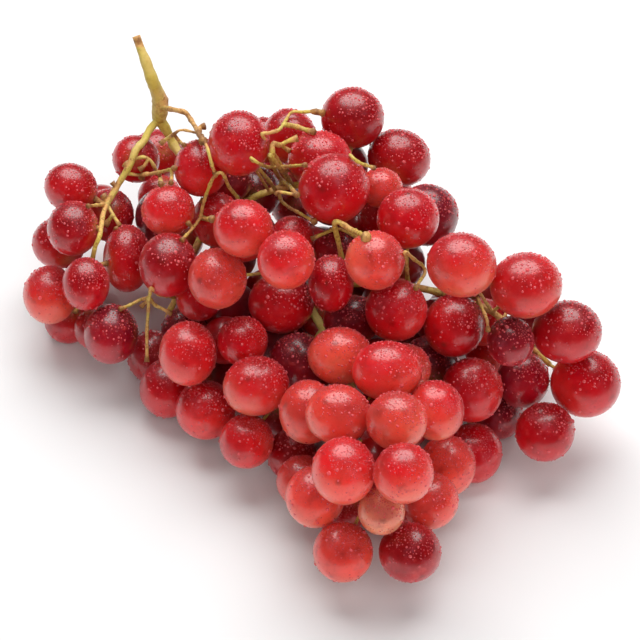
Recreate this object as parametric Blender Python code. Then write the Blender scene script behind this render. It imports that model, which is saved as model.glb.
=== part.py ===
"""A bunch of table grapes lying on its side on a flat surface.

The bunch is read from one viewpoint: each berry that shows from there is listed by where
it appears, nearest first, and its depth follows from what it hides. Berries out of sight
fill the heap round the stem. The berries of one spray press together into one body.
"""
import math

import bmesh
import bpy
import numpy as np
from mathutils import Matrix, Vector

MM = 0.001

# Size of the bunch and its berries
BERRY_DIAMETER = 21.0 * MM      # a typical berry, 60 steps of the picture across
PIXEL_SIZE = BERRY_DIAMETER / 60.0
HEAP_RISE = 82.0 * MM           # how far the upper berries lie above the lowest
HEAP_SPAN = 95.0 * MM           # how soon the heap reaches that height
REST_FLAT = 0.9 * MM            # how far the lowest berries flatten on the surface
BURIED_TUCK = 16.0 * MM         # how much deeper a fully covered berry lies
JOIN_GAP = 0.45 * MM            # distance between berries of one spray, bridged by necks
SPRAY_GAP = 0.75 * MM           # clear distance between berries of two sprays
STEM_GAP = 0.35 * MM            # clear distance between stem and berries
FACET_GROWTH = 1.03             # makes up for the flats of a faceted berry
SETTLE_ROUNDS = 2600            # rounds in which the depths settle
SETTLE_PULL = 0.25              # how firmly a berry is drawn to its wished depth at first

# Viewpoint
FRAME_SIDE = 640.0
VIEW_ELEVATION = math.radians(45.0)
VIEW_DISTANCE = 1.0
VIEW_AIM = Vector((0.9 * MM, 8.7 * MM, 30.0 * MM))

# Berries out of sight
HIDDEN_SEED = 21
HIDDEN_TRIES = 26000
HIDDEN_LIMIT = 54
HIDDEN_RADIUS = (8.4 * MM, 10.4 * MM)
HIDDEN_LOW = (-95.0 * MM, -95.0 * MM, -22.0 * MM)    # corners of their space, from the aim
HIDDEN_HIGH = (90.0 * MM, 60.0 * MM, 45.0 * MM)
LANDING_BONUS = 6.0 * MM        # preference for berries that reach the surface
LANDING_SLACK = 0.1 * MM
STEM_REACH = 17.0 * MM          # distance from the stem past which a berry is less likely
STRAY_WEIGHT = 0.6
WEDGE_COUNT = 4                 # neighbours that a hidden berry is wedged between
SHOWN_BONUS = 20.0 * MM         # preference for berries that close a dark gap
SHOWN_LIMIT = 0.5
HIDDEN_SLACK = 2.0 * MM         # least distance behind the berry that hides it
DISC_RINGS = ((0.0, 1), (0.5, 8), (0.97, 16))    # where a berry's disc is tried, and how often
CLEAR_MARGIN = 2.0
MAP_CELL = 4.0                  # cell of the picture grids
ENCLOSE_CELLS = 9

# Courses of the stem
STEM_STEP = 9.0 * MM            # distance between the rings of a stem
STEM_SLACK = 0.2 * MM           # further distance to the berries while a stem is moved
STEM_LOW = 1.0 * MM             # least height of a stem above the surface
TWIG_SLACK = 0.3 * MM
BONE_LOW = 8.0 * MM             # least height of the stem inside the bunch
NEAR_SPREAD = 150.0             # softens the weight of the nearest berry, in square steps
PUSH_ROUNDS = 60
SMOOTH_ROUNDS = 50
SMOOTH_SHARE = 0.2
SAMPLE_STEP = 3.0 * MM
ROOT_CHOICES = 26               # places on the stem tried for the root of a short stalk
CROSSING_PRICE = 4.0            # how dear it is to pass through another berry

# Facets
BERRY_STEPS = 2
BERRY_TURN = 0.7                # turn from one berry's facets to the next, in radians
BURIED_SIDES = 7
BURIED_RINGS = 5
BURIED_SHARE = 0.45            # covered share from which a berry counts as buried
NECK_RADIUS = 2.2 * MM
NECK_SIDES = 3
NECK_REACH = 0.6                # how deep a neck starts in a berry, as a share of its radius
NECK_LONGEST = 14.0 * MM
NECK_SPOTS = (0.35, 0.42, 0.5, 0.58, 0.65)
NECK_CROWDED = 6.0 * MM         # added price of a neck that comes near anything else
STEM_SIDES = ((2.0 * MM, 8), (1.15 * MM, 5))     # mean radius from which a stem has so many
TWIG_SIDES = 3
PEDICEL_RADIUS = 0.95 * MM
PEDICEL_SIDES = 3
THIN_GROWTH = 1.2               # makes up for the flats of a three-sided twig
SURFACE_DEPTH = 40.0 * MM       # block that cuts the lowest berries flat

SPRAYS = {
    "W": "berries_left_wing",
    "L": "berries_left_flank",
    "M": "berries_middle",
    "T": "berries_crown",
    "R": "berries_right_wing",
    "C": "berries_tail",
}
SPRAY_COLOURS = {
    "W": (0.30, 0.020, 0.030, 1.0),
    "L": (0.42, 0.040, 0.045, 1.0),
    "M": (0.40, 0.030, 0.035, 1.0),
    "T": (0.34, 0.018, 0.025, 1.0),
    "R": (0.32, 0.016, 0.024, 1.0),
    "C": (0.55, 0.075, 0.060, 1.0),
}
STEM_COLOUR = (0.50, 0.38, 0.10, 1.0)
BERRY_ROUGHNESS = 0.3
STEM_ROUGHNESS = 0.6

# Seen berries, nearest first: name, across, down, width, height, lean in degrees, ripeness
SEEN_BERRIES = """
C9 403.5 473.5 61 61 0 2
C8 343.5 471 65 68 0 2
C6 396.5 421 61 60 0 1
C5 338 414.5 65 61 0 1
C12 381.5 511 47 48 0 0
C7 436 410.5 56 61 0 2
C15 343 552 60 61 0 2
C16 410 552.5 63 61 0 4
C2 387 371 70 60 0 2
C4 308 412 58 65 0 1
C1 340 356 65 58 0 1
C11 430 501 58 58 0 0
C13 315 497 59 62 0 2
C10 447 466 58 62 0 1
C3 404 369 54 52 0 1
C14 302 481 51 52 0 2
L9 256 386 67 60 -12 2
L10 242.5 341 51 50 0 4
L6 188 353.5 58 66 0 2
L8 246.5 441.5 55 55 0 3
L7 205.5 410 60 60 0 3
M10 375 260.5 60 60 0 1
T7 408 218.5 63 61 0 3
R13 461.5 265 71 65 15 2
R1 526 285.5 73 67 0 2
R5 510.5 341.5 47 50 0 5
R2 567 332 71 64 0 3
R4 545 432 60 59 0 3
R3 585.5 383.5 71 69 0 3
M14 396 310 62 64 0 3
M15 454 325.5 62 64 0 4
R7 472 390 62 66 0 4
R6 523 380 53 57 0 4
R11 473.5 453 58 61 0 3
R9 498 413 50 54 0 5
M6 286 260 58 60 0 2
M4 243 228.5 60 58 0 2
M5 217.5 278.5 59 62 0 1
M9 331 283.5 46 57 0 4
M8 281 303 66 62 0 4
M7 292 237 44 42 0 4
T5 334 188.5 72 71 0 4
T4 320 160 64 58 0 3
T1 352.5 118 63 61 0 3
T6 381 188 44 40 0 1
T2 399 158 64 58 20 3
T8 427 215 64 62 0 4
M1 239 143.5 62 65 0 3
T3 289 136 54 55 0 3
T13 264 140 46 46 0 4
W2 73 228.5 52 55 0 4
W1 71 188 54 49 25 3
W5 86 284 47 53 0 4
W4 50 295 54 58 0 2
W3 59 243 54 52 0 4
W8 168 265 59 64 0 3
W7 127 258.5 48 68 0 4
W9 168 210.5 54 51 0 2
M0 201 168 54 58 0 3
W6 109 215 50 53 0 4
W12 136 159 48 48 0 4
W10 160.5 217 51 56 0 5
W11 160 197 45 44 0 3
W13 157 155 54 52 0 4
M3 217 220 50 56 0 3
M16 199 298 46 46 0 3
L3 111 334 54 60 0 4
L2 97 329 46 43 0 4
L1 68 320 48 48 0 4
L11 184 330 46 45 0 5
L5 168 388 57 60 0 4
L4 153 357 50 54 0 5
M2 228 178 50 50 0 4
T11 256 192 52 52 0 4
T12 282 174 46 48 0 4
T14 294 206 46 46 0 4
T9 382 216 48 50 0 4
M11 338 250 50 48 0 5
M12 352 320 58 50 0 5
M13 299 362 60 58 0 5
R8 483 322 50 48 0 3
R10 488 352 46 46 0 3
R12 430 362 54 54 0 5
C17 292 455 50 52 0 5
C18 284 424 46 46 0 5
C20 340 512 50 46 0 4
"""
# Front rim of the heap, where its lowest berries touch the surface
FRONT_EDGE = (
    (45, 320), (110, 335), (168, 388), (246, 441), (343, 552),
    (410, 552), (473, 455), (545, 431), (586, 384),
)
# Places where the surface shows between the berries
CLEAR_SPOTS = ((277, 219), (424, 257), (505, 314), (540, 355), (548, 393), (130, 190))

# Stalk of the bunch: across, down, height in millimetres, radius in millimetres
STALK = ((136, 36, 96, 1.5), (141, 50, 92, 1.5), (145, 60, 89, 1.9), (152, 80, 82, 2.2),
         (156.5, 91, 76, 2.4), (160, 101, 71, 3.0), (160, 110, 67, 3.1), (159, 119, 63, 2.7))

# Stem inside the bunch: across, down, how far it runs behind the berries in front of it,
# radius in millimetres
MAIN_STEM = ((159, 119, None, 2.5), (167, 131, None, 1.9), (173, 144, None, 1.8),
             (180, 160, 8, 1.8), (215, 200, 13, 1.8), (262, 245, 15, 1.8),
             (305, 285, 15, 1.7), (340, 330, 15, 1.7), (362, 385, 16, 1.6),
             (372, 440, 14, 1.5), (376, 478, 9, 1.3))
LEFT_LIMB = ((157, 121), (149, 131), (144, 141), (136, 150), (130, 165), (118, 185), (107, 204))
BRANCHES = (
    ("left_flank", ((215, 200), (196, 250), (176, 300), (172, 345), (205, 385)), 13),
    ("crown", ((215, 200), (250, 185), (300, 172), (345, 160), (395, 190)), 13),
    ("right_wing", ((305, 285), (365, 265), (420, 268), (470, 292), (515, 325), (550, 365)), 14),
    ("right_low", ((340, 330), (390, 350), (445, 370), (490, 395)), 15),
    ("left_tail", ((340, 330), (305, 360), (275, 405)), 13),
)
BRANCH_RADII = (1.6 * MM, 1.1 * MM)
LIMB_RADII = (1.2 * MM, 1.0 * MM)
WING_TIP = ((95, 247), (92, 270), (84, 300))
TIP_RADII = (1.0 * MM, 0.9 * MM)
TIP_TUCK = 9.0 * MM

# Bare twigs that show: radius in millimetres, then the points across and down
TWIGS = (
    (1.0, ((107, 204), (103, 215), (100, 235), (95, 247))),
    (0.9, ((107, 204), (98, 205), (88, 206))),
    (0.9, ((107, 204), (113, 215), (120, 226))),
    (1.3, ((164, 106), (180, 111), (186, 113), (191, 120), (196, 128), (199, 135), (203, 141))),
    (0.9, ((203, 138), (208, 150), (212, 165), (215, 173))),
    (0.9, ((222, 173), (214, 177), (208, 190), (203, 205), (200, 218), (193, 228), (182, 240))),
    (0.9, ((134, 158), (143, 157), (150, 160), (155, 168), (158, 174))),
    (0.9, ((126, 172), (140, 175), (160, 172), (175, 168))),
    (1.1, ((270, 155), (273, 165), (280, 178), (290, 187), (297, 195))),
    (0.9, ((262, 134), (269, 133), (280, 129), (286, 120), (292, 112), (303, 112), (317, 111))),
    (0.9, ((251, 158), (258, 163), (268, 167), (280, 167), (305, 165))),
    (0.9, ((282, 180), (279, 190), (281, 200), (290, 208), (303, 215), (315, 222))),
    (1.4, ((335, 222), (352, 230), (366, 237))),
    (0.9, ((405, 252), (415, 260), (423, 266), (425, 273), (420, 281), (416, 288))),
    (0.9, ((350, 155), (358, 162), (374, 168))),
    (0.9, ((340, 229), (325, 233), (311, 239))),
    (0.9, ((478, 298), (483, 310), (487, 320), (488, 330))),
    (0.9, ((151, 288), (149, 297), (140, 300), (130, 305), (120, 309))),
    (0.9, ((149, 297), (155, 305), (163, 309), (172, 314))),
    (0.9, ((149, 297), (148, 315), (147, 330), (147, 362))),
)
FORK_DIVE = 2.0 * MM            # how much deeper each of the main stem's first points lies
SNAP = 8.0                      # a twig that starts this near a stem in the picture joins it
ROOT_DIVE = 10.0 * MM           # how far a twig's root dives behind its first seen point


class Viewpoint:
    """Turns a place in the picture into a place round the bunch."""

    def __init__(self):
        tilt_sin = math.sin(VIEW_ELEVATION)
        tilt_cos = math.cos(VIEW_ELEVATION)
        self.right = np.array((1.0, 0.0, 0.0))
        self.up = np.array((0.0, tilt_sin, tilt_cos))
        self.back = np.array((0.0, -tilt_cos, tilt_sin))
        self.eye = np.array(VIEW_AIM) + VIEW_DISTANCE * self.back
        self.steps = VIEW_DISTANCE / PIXEL_SIZE

    def ray(self, across, down):
        side = (across - FRAME_SIDE / 2.0) / self.steps
        lift = (FRAME_SIDE / 2.0 - down) / self.steps
        return -self.back + side * self.right + lift * self.up

    def at(self, across, down, depth):
        return self.eye + depth * self.ray(across, down)

    def depth_at_height(self, across, down, height):
        return (height - self.eye[2]) / self.ray(across, down)[2]

    def see(self, point):
        offset = np.asarray(point) - self.eye
        depth = -offset @ self.back
        across = FRAME_SIDE / 2.0 + self.steps * (offset @ self.right) / depth
        down = FRAME_SIDE / 2.0 - self.steps * (offset @ self.up) / depth
        return across, down, depth


class Berry:
    """One berry: an ellipsoid with its own axes."""

    def __init__(self, name, spray, centre, axes, half, ripeness):
        self.name = name
        self.spray = spray
        self.centre = np.asarray(centre)
        self.axes = np.asarray(axes)
        self.half = np.asarray(half)
        self.ripeness = ripeness
        self.buried = False
        self.radius = float(np.mean(half))


# Depths of the seen berries

def read_seen():
    rows = []
    for line in SEEN_BERRIES.strip().split("\n"):
        name, *values = line.split()
        across, down, width, height, lean, ripeness = map(float, values)
        rows.append({
            "name": name, "across": across, "down": down, "width": width,
            "height": height, "lean": math.radians(lean), "ripeness": int(ripeness),
        })
    return rows


def front_rim(across):
    places = [p[0] for p in FRONT_EDGE]
    rows = [p[1] for p in FRONT_EDGE]
    return float(np.interp(across, places, rows))


def covered_share(row, nearer):
    """Share of a berry's disc that nearer berries hide."""
    hidden = 0
    total = 0
    for i in range(-4, 5):
        for j in range(-4, 5):
            if i * i + j * j > 20:
                continue
            total += 1
            across = row["across"] + i * row["width"] / 10.0
            down = row["down"] + j * row["height"] / 10.0
            for other in nearer:
                u = 2.0 * (across - other["across"]) / other["width"]
                v = 2.0 * (down - other["down"]) / other["height"]
                if u * u + v * v < 1.0:
                    hidden += 1
                    break
    return hidden / total


def half_toward(row, across, down):
    c, s = math.cos(row["lean"]), math.sin(row["lean"])
    u, v = c * across + s * down, c * down - s * across
    return math.hypot(u * row["width"] / 2.0, v * row["height"] / 2.0)


def pair_needs(rows):
    """For each two berries that meet in the picture: how much deeper the second lies."""
    needs = []
    for i, a in enumerate(rows):
        for j in range(i + 1, len(rows)):
            b = rows[j]
            across, down = b["across"] - a["across"], b["down"] - a["down"]
            apart = math.hypot(across, down)
            u, v = across / apart, down / apart
            same = a["name"][0] == b["name"][0]
            gap = (JOIN_GAP if same else SPRAY_GAP) / PIXEL_SIZE
            reach = half_toward(a, u, v) + half_toward(b, u, v) + gap
            if apart < reach:
                deep = (a["width"] + a["height"] + b["width"] + b["height"]) / 4.0 + gap
                part = math.sqrt(1.0 - (apart / reach) ** 2)
                needs.append((i, j, part * deep * PIXEL_SIZE))
    return needs


def settle_depths(view, rows):
    """Depths that keep every berry behind what hides it and above the surface."""
    wish, limit = [], []
    for i, row in enumerate(rows):
        rise = (front_rim(row["across"]) - row["down"]) * PIXEL_SIZE
        radius = (row["width"] + row["height"]) / 4.0 * PIXEL_SIZE
        height = BERRY_DIAMETER / 2.0
        if rise > 0.0:
            height += HEAP_RISE * (1.0 - math.exp(-rise / HEAP_SPAN))
        share = covered_share(row, rows[:i])
        row["share"] = share
        depth = view.depth_at_height(row["across"], row["down"], height)
        deepest = view.depth_at_height(row["across"], row["down"], radius - REST_FLAT)
        wish.append(min(depth + BURIED_TUCK * share, deepest))
        limit.append(deepest)
    wish = np.array(wish)
    depths = wish.copy()
    needs = pair_needs(rows)
    for step in range(SETTLE_ROUNDS):
        pull = SETTLE_PULL * max(0.0, 1.0 - step / (0.75 * SETTLE_ROUNDS)) ** 2
        depths += pull * (wish - depths)
        for i, j, need in needs:
            short = need - (depths[j] - depths[i])
            if short > 0.0:
                push = min(short / 2.0, max(limit[j] - depths[j], 0.0))
                depths[j] += push
                depths[i] -= short - push
    return depths


def place_seen(view):
    rows = read_seen()
    depths = settle_depths(view, rows)
    berries = []
    for row, depth in zip(rows, depths):
        size = depth / view.steps
        c, s = math.cos(row["lean"]), math.sin(row["lean"])
        axes = (c * view.right - s * view.up, s * view.right + c * view.up, view.back)
        half = (
            row["width"] / 2.0 * size,
            row["height"] / 2.0 * size,
            (row["width"] + row["height"]) / 4.0 * size,
        )
        centre = view.at(row["across"], row["down"], depth)
        berries.append(Berry(row["name"], row["name"][0], centre, axes, half, row["ripeness"]))
        berries[-1].buried = row["share"] > BURIED_SHARE
    return berries


# Stem

def smooth_path(points, radii):
    """A rounded line through the points, with a radius at each step."""
    points = [np.asarray(p, float) for p in points]
    ends = [2.0 * points[0] - points[1]] + points + [2.0 * points[-1] - points[-2]]
    line, sizes = [], []
    for k in range(len(points) - 1):
        p0, p1, p2, p3 = ends[k:k + 4]
        count = max(1, round(float(np.linalg.norm(p2 - p1)) / STEM_STEP))
        for i in range(count):
            t = i / count
            bend = (2.0 * p1 + (p2 - p0) * t + (2.0 * p0 - 5.0 * p1 + 4.0 * p2 - p3) * t * t
                    + (3.0 * p1 - 3.0 * p2 + p3 - p0) * t ** 3)
            line.append(0.5 * bend)
            sizes.append(radii[k] + (radii[k + 1] - radii[k]) * t)
    line.append(points[-1])
    sizes.append(radii[-1])
    return np.array(line), np.array(sizes)


def push_clear(line, sizes, berries, fixed):
    """Moves the free points of a stem out of the berries it would cross."""
    line = line.copy()
    centres = np.array([b.centre for b in berries])
    radii = np.array([b.radius for b in berries])
    for step in range(PUSH_ROUNDS):
        for k in range(len(line)):
            if k in fixed:
                continue
            away = line[k] - centres
            apart = np.linalg.norm(away, axis=1)
            short = radii + sizes[k] + STEM_GAP + STEM_SLACK - apart
            for i in np.nonzero(short > 0.0)[0]:
                line[k] += 0.5 * short[i] * away[i] / max(apart[i], 0.1 * MM)
            line[k][2] = max(line[k][2], sizes[k] + STEM_LOW)
        if step < SMOOTH_ROUNDS:
            for k in range(1, len(line) - 1):
                if k not in fixed:
                    line[k] += SMOOTH_SHARE * ((line[k - 1] + line[k + 1]) / 2.0 - line[k])
    return line


def taper(count, radii):
    return [radii[0] + (radii[1] - radii[0]) * k / (count - 1) for k in range(count)]


def twig_depth(view, berries, seen, across, down, radius):
    """Depth at which a twig passes just in front of what it crosses."""
    weight_sum, depth_sum, nearest = 0.0, 0.0, None
    for berry, (x, y, depth) in zip(berries, seen):
        apart = math.hypot(across - x, down - y)
        disc = berry.radius / PIXEL_SIZE
        weight = 1.0 / (apart * apart + NEAR_SPREAD)
        weight_sum += weight
        depth_sum += weight * depth
        margin = (radius + STEM_GAP + TWIG_SLACK) / PIXEL_SIZE
        if apart < disc + margin:
            ahead = math.sqrt((disc + margin) ** 2 - apart * apart) * PIXEL_SIZE
            front = depth - ahead
            nearest = front if nearest is None else min(nearest, front)
    mean = depth_sum / weight_sum
    return mean if nearest is None else min(mean, nearest)


def behind_depth(view, seen, across, down, tuck):
    """Depth a little behind the berries that show round a place in the picture."""
    apart = (seen[:, 0] - across) ** 2 + (seen[:, 1] - down) ** 2
    weights = 1.0 / (apart + NEAR_SPREAD)
    depth = float((weights * seen[:, 2]).sum() / weights.sum()) + tuck
    return min(depth, view.depth_at_height(across, down, BONE_LOW))


def nearest_bone(bones, point):
    return bones[np.argmin(np.linalg.norm(bones - point, axis=1))]


def twig_root(view, bones, place, first, radius, berries):
    """Where a twig leaves the stem: at a stem beside it, or out of sight behind its start."""
    pictured = np.array([view.see(bone)[:2] for bone in bones])
    apart = np.hypot(pictured[:, 0] - place[0], pictured[:, 1] - place[1])
    if apart.min() < SNAP:
        return [bones[np.argmin(apart)]]
    dive = view.at(*place, view.see(first)[2] + ROOT_DIVE)
    root = nearest_bone(bones, dive)
    bend = push_clear(np.array([root, (root + dive) / 2.0, dive, first]), [radius] * 4,
                      berries, {0, 3})
    return list(bend)


def place_stems(view, berries):
    """Every stem line with its radii: the hidden skeleton first, then what shows."""
    seen = np.array([view.see(b.centre) for b in berries])
    stalk = [view.at(x, y, view.depth_at_height(x, y, z * MM)) for x, y, z, _ in STALK]
    lines = [smooth_path(stalk, [p[3] * MM for p in STALK])]
    fork = view.see(stalk[-1])[2]
    path = []
    for k, (across, down, tuck, _) in enumerate(MAIN_STEM):
        depth = fork + FORK_DIVE * k
        if tuck is not None:
            depth = behind_depth(view, seen, across, down, tuck * MM)
        path.append(view.at(across, down, depth))
    main, sizes = smooth_path(path, [p[3] * MM for p in MAIN_STEM])
    main = push_clear(main, sizes, berries, {0, 1, 2})
    lines.append((main, sizes))
    limb = [view.at(*LEFT_LIMB[0], fork)]
    limb += [view.at(x, y, twig_depth(view, berries, seen, x, y, MM)) for x, y in LEFT_LIMB[1:]]
    lines.append(smooth_path(limb, taper(len(limb), LIMB_RADII)))
    for _, points, tuck in BRANCHES:
        path = [view.at(x, y, behind_depth(view, seen, x, y, tuck * MM)) for x, y in points]
        path[0] = nearest_bone(main, path[0])
        line, sizes = smooth_path(path, taper(len(path), BRANCH_RADII))
        lines.append((push_clear(line, sizes, berries, {0}), sizes))
    skeleton = list(lines)
    bones, _ = stem_samples(skeleton, 2.0 * MM)
    ends = {LEFT_LIMB[-1]: limb[-1]}
    for radius, points in TWIGS:
        radius *= MM
        depths = [twig_depth(view, berries, seen, x, y, radius) for x, y in points]
        depths = [min(depths[max(0, k - 1):k + 2]) * 0.5 + depths[k] * 0.5
                  for k in range(len(depths))]
        path = [view.at(x, y, t) for (x, y), t in zip(points, depths)]
        if points[0] in ends:
            path[0] = ends[points[0]]
        else:
            path[:1] = twig_root(view, bones, points[0], path[0], radius, berries)
        for place, point in zip(points[::-1], path[::-1]):
            ends.setdefault(place, point)
        line, sizes = smooth_path(path, taper(len(path), (radius * 1.1, radius * 0.9)))
        lines.append((line, sizes))
    path = [ends[WING_TIP[0]]]
    path += [view.at(x, y, behind_depth(view, seen, x, y, TIP_TUCK)) for x, y in WING_TIP[1:]]
    tip, sizes = smooth_path(path, taper(len(path), TIP_RADII))
    tip = (push_clear(tip, sizes, berries, {0}), sizes)
    return lines + [tip], skeleton + [lines[len(skeleton)], tip]


def stem_samples(lines, spacing):
    """Points and radii at even steps along every stem line."""
    points, sizes = [], []
    for line, radii in lines:
        for k in range(len(line) - 1):
            span = float(np.linalg.norm(line[k + 1] - line[k]))
            count = max(1, math.ceil(span / spacing))
            for i in range(count):
                t = i / count
                points.append(line[k] + (line[k + 1] - line[k]) * t)
                sizes.append(radii[k] + (radii[k + 1] - radii[k]) * t)
        points.append(line[-1])
        sizes.append(radii[-1])
    return np.array(points), np.array(sizes)


# Berries out of sight

def picture_maps(seen):
    """Grids over the picture: nearest seen depth, and where berries stand all round."""
    cells = np.arange(0.0, FRAME_SIDE, MAP_CELL) + MAP_CELL / 2.0
    across, down = np.meshgrid(cells, cells)
    nearest = np.full(across.shape, np.inf)
    for x, y, depth, width, height in seen:
        u, v = 2.0 * (across - x) / width, 2.0 * (down - y) / height
        disc = u * u + v * v < 1.0
        nearest[disc] = np.minimum(nearest[disc], depth)
    covered = np.isfinite(nearest)
    enclosed = np.ones(covered.shape, bool)
    for i, j in ((1, 0), (1, 1), (0, 1), (-1, 1), (-1, 0), (-1, -1), (0, -1), (1, -1)):
        hit = np.zeros(covered.shape, bool)
        for step in range(1, ENCLOSE_CELLS + 1):
            hit |= np.roll(covered, (step * i, step * j), (0, 1))
        enclosed &= hit
    return nearest, covered, covered | enclosed


def visible_share(view, maps, centre, radius):
    """Share of a berry's disc that shows between the seen ones, or None if it can't be there."""
    across, down, depth = view.see(centre)
    disc = radius / depth * view.steps
    for x, y in CLEAR_SPOTS:
        if math.hypot(across - x, down - y) < disc + CLEAR_MARGIN:
            return None
    nearest, covered, inside = maps
    shown, total = 0, 0
    for ring, count in DISC_RINGS:
        for k in range(count):
            angle = 2.0 * math.pi * k / count
            column = int((across + ring * disc * math.cos(angle)) / MAP_CELL)
            row = int((down + ring * disc * math.sin(angle)) / MAP_CELL)
            total += 1
            if not inside[row, column]:
                return None
            if not covered[row, column]:
                shown += 1
            elif nearest[row, column] > depth - HIDDEN_SLACK:
                return None
    return shown / total if shown <= SHOWN_LIMIT * total else None


def fill_hidden(view, berries, stems):
    """Berries under the seen ones, each wedged where it touches most."""
    rng = np.random.default_rng(HIDDEN_SEED)
    seen = [(*view.see(b.centre), 2.0 * b.half[0] / PIXEL_SIZE, 2.0 * b.half[1] / PIXEL_SIZE)
            for b in berries]
    maps = picture_maps(seen)
    low, high = HIDDEN_RADIUS
    spread = np.array(VIEW_AIM) + rng.uniform(HIDDEN_LOW, HIDDEN_HIGH, (HIDDEN_TRIES, 3))
    centres = [b.centre for b in berries]
    radii = [b.radius for b in berries]
    sprays = [b.spray for b in berries]
    apart = np.linalg.norm(spread[:, None] - np.array(centres)[None], axis=2) - np.array(radii)
    keep = (apart.min(axis=1) - SPRAY_GAP >= low) & (spread[:, 2] + REST_FLAT >= low)
    spread, apart = spread[keep], apart[keep]
    bones, thick = stem_samples(stems, SAMPLE_STEP)
    bone = (np.linalg.norm(spread[:, None] - bones[None], axis=2) - thick[None]).min(axis=1)
    clear = np.minimum(bone - STEM_GAP - STEM_SLACK, spread[:, 2] + REST_FLAT)
    keep = clear >= low
    spread, apart, bone, clear = spread[keep], apart[keep], bone[keep], clear[keep]
    shown = [visible_share(view, maps, point, low) for point in spread]
    keep = np.array([share is not None for share in shown])
    shown = np.array([share for share in shown if share is not None])
    spread, apart, bone, clear = spread[keep], apart[keep], bone[keep], clear[keep]
    placed = []
    while len(placed) < HIDDEN_LIMIT:
        free = np.minimum(apart.min(axis=1) - SPRAY_GAP, clear)
        keep = free >= low
        if not keep.any():
            break
        spread, apart, bone, clear = spread[keep], apart[keep], bone[keep], clear[keep]
        free, shown = free[keep], shown[keep]
        landed = (spread[:, 2] < high) & (free >= spread[:, 2] + REST_FLAT - LANDING_SLACK)
        wedge = np.sort(apart, axis=1)[:, :WEDGE_COUNT].sum(axis=1)
        stray = np.maximum(bone - STEM_REACH, 0.0)
        score = wedge + STRAY_WEIGHT * stray - LANDING_BONUS * landed - SHOWN_BONUS * shown
        best = int(np.argmin(score))
        radius = float(min(high, free[best]))
        centre = spread[best]
        closest = int(np.argmin(np.linalg.norm(np.array(centres) - centre, axis=1) - radii))
        spray = sprays[closest]
        centres.append(centre)
        radii.append(radius)
        sprays.append(spray)
        half = radius * (1.0 + rng.uniform(-0.02, 0.0, 3))
        ripeness = int(rng.integers(3, 6))
        axes = (view.right, view.up, view.back)
        placed.append(Berry(f"{spray}h{len(placed)}", spray, centre, axes, half, ripeness))
        placed[-1].buried = True
        extra = np.linalg.norm(spread - centre, axis=1) - radius
        apart = np.hstack([apart, extra[:, None]])
    return placed


# Short stalks of the berries

def crossing(path, berries, skip):
    """How far a straight line runs inside berries other than its own."""
    start, end = path
    total = 0.0
    steps = np.linspace(0.0, 1.0, 9)[:, None]
    points = start + (end - start) * steps
    for berry in berries:
        if berry is skip:
            continue
        depth = berry.radius + PEDICEL_RADIUS - np.linalg.norm(points - berry.centre, axis=1)
        total += float(np.maximum(depth, 0.0).sum())
    return total


def run_clearance(run, berries):
    """Least distance from the skin of a stem run to the skin of any berry."""
    points, sizes = stem_samples([run], 1.5 * MM)
    least = 1.0
    for berry in berries:
        apart = np.linalg.norm(points - berry.centre, axis=1) - sizes
        least = min(least, float(apart.min()) - float(berry.half.max()) * FACET_GROWTH)
    return least


def place_pedicels(berries, skeleton):
    """The short stalk of each berry, and whether it passes clear of every other berry."""
    bones, _ = stem_samples(skeleton, 5.0 * MM)
    stalks = []
    for berry in berries:
        away = np.linalg.norm(bones - berry.centre, axis=1)
        best, cost = None, None
        for k in np.argsort(away)[:ROOT_CHOICES]:
            course = (bones[k] - berry.centre) / away[k]
            start = berry.centre + course * (berry.radius + STEM_GAP)
            price = away[k] + CROSSING_PRICE * crossing((start, bones[k]), berries, berry)
            if cost is None or price < cost:
                best, cost = k, price
        root = bones[best]
        course = (root - berry.centre) / np.linalg.norm(root - berry.centre)
        share = sum((course @ berry.axes[k] / berry.half[k]) ** 2 for k in range(3))
        start = berry.centre + course * (FACET_GROWTH / math.sqrt(share) + STEM_GAP)
        berry.pole = course
        length = float(np.linalg.norm(root - start))
        count = max(2, round(length / STEM_STEP) + 1)
        line = np.array([start + (root - start) * k / (count - 1) for k in range(count)])
        sizes = np.array([PEDICEL_RADIUS] * count)
        others = [b for b in berries if b is not berry]
        line = push_clear(line, sizes, others, {0, count - 1})
        clear = not berry.buried and run_clearance((line, sizes), others) > STEM_GAP
        stalks.append((line, sizes, clear))
    return stalks


# Meshes

def new_object(name, mesh):
    obj = bpy.data.objects.new(name, mesh)
    bpy.context.scene.collection.objects.link(obj)
    return obj


def tube_mesh(name, line, sizes, sides, grow=0.0):
    """A closed tube along a line, made wider all round by the growth given."""
    line = [Vector(p) for p in line]
    sizes = [s + grow for s in sizes]
    line[0] -= (line[1] - line[0]).normalized() * grow
    mesh = bmesh.new()
    rings = []
    side = None
    for k, point in enumerate(line):
        ahead = line[min(k + 1, len(line) - 1)] - line[max(k - 1, 0)]
        course = ahead.normalized()
        if side is None:
            side = course.orthogonal().normalized()
        side = (side - course * side.dot(course)).normalized()
        other = course.cross(side)
        ring = []
        for i in range(sides):
            angle = 2.0 * math.pi * i / sides
            offset = side * math.cos(angle) + other * math.sin(angle)
            ring.append(mesh.verts.new(point + offset * sizes[k]))
        rings.append(ring)
    for low, high in zip(rings, rings[1:]):
        for i in range(sides):
            j = (i + 1) % sides
            mesh.faces.new((low[i], low[j], high[j], high[i]))
    mesh.faces.new(rings[0][::-1])
    mesh.faces.new(rings[-1])
    bmesh.ops.triangulate(mesh, faces=mesh.faces[:])
    data = bpy.data.meshes.new(name)
    mesh.to_mesh(data)
    mesh.free()
    return data


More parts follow.
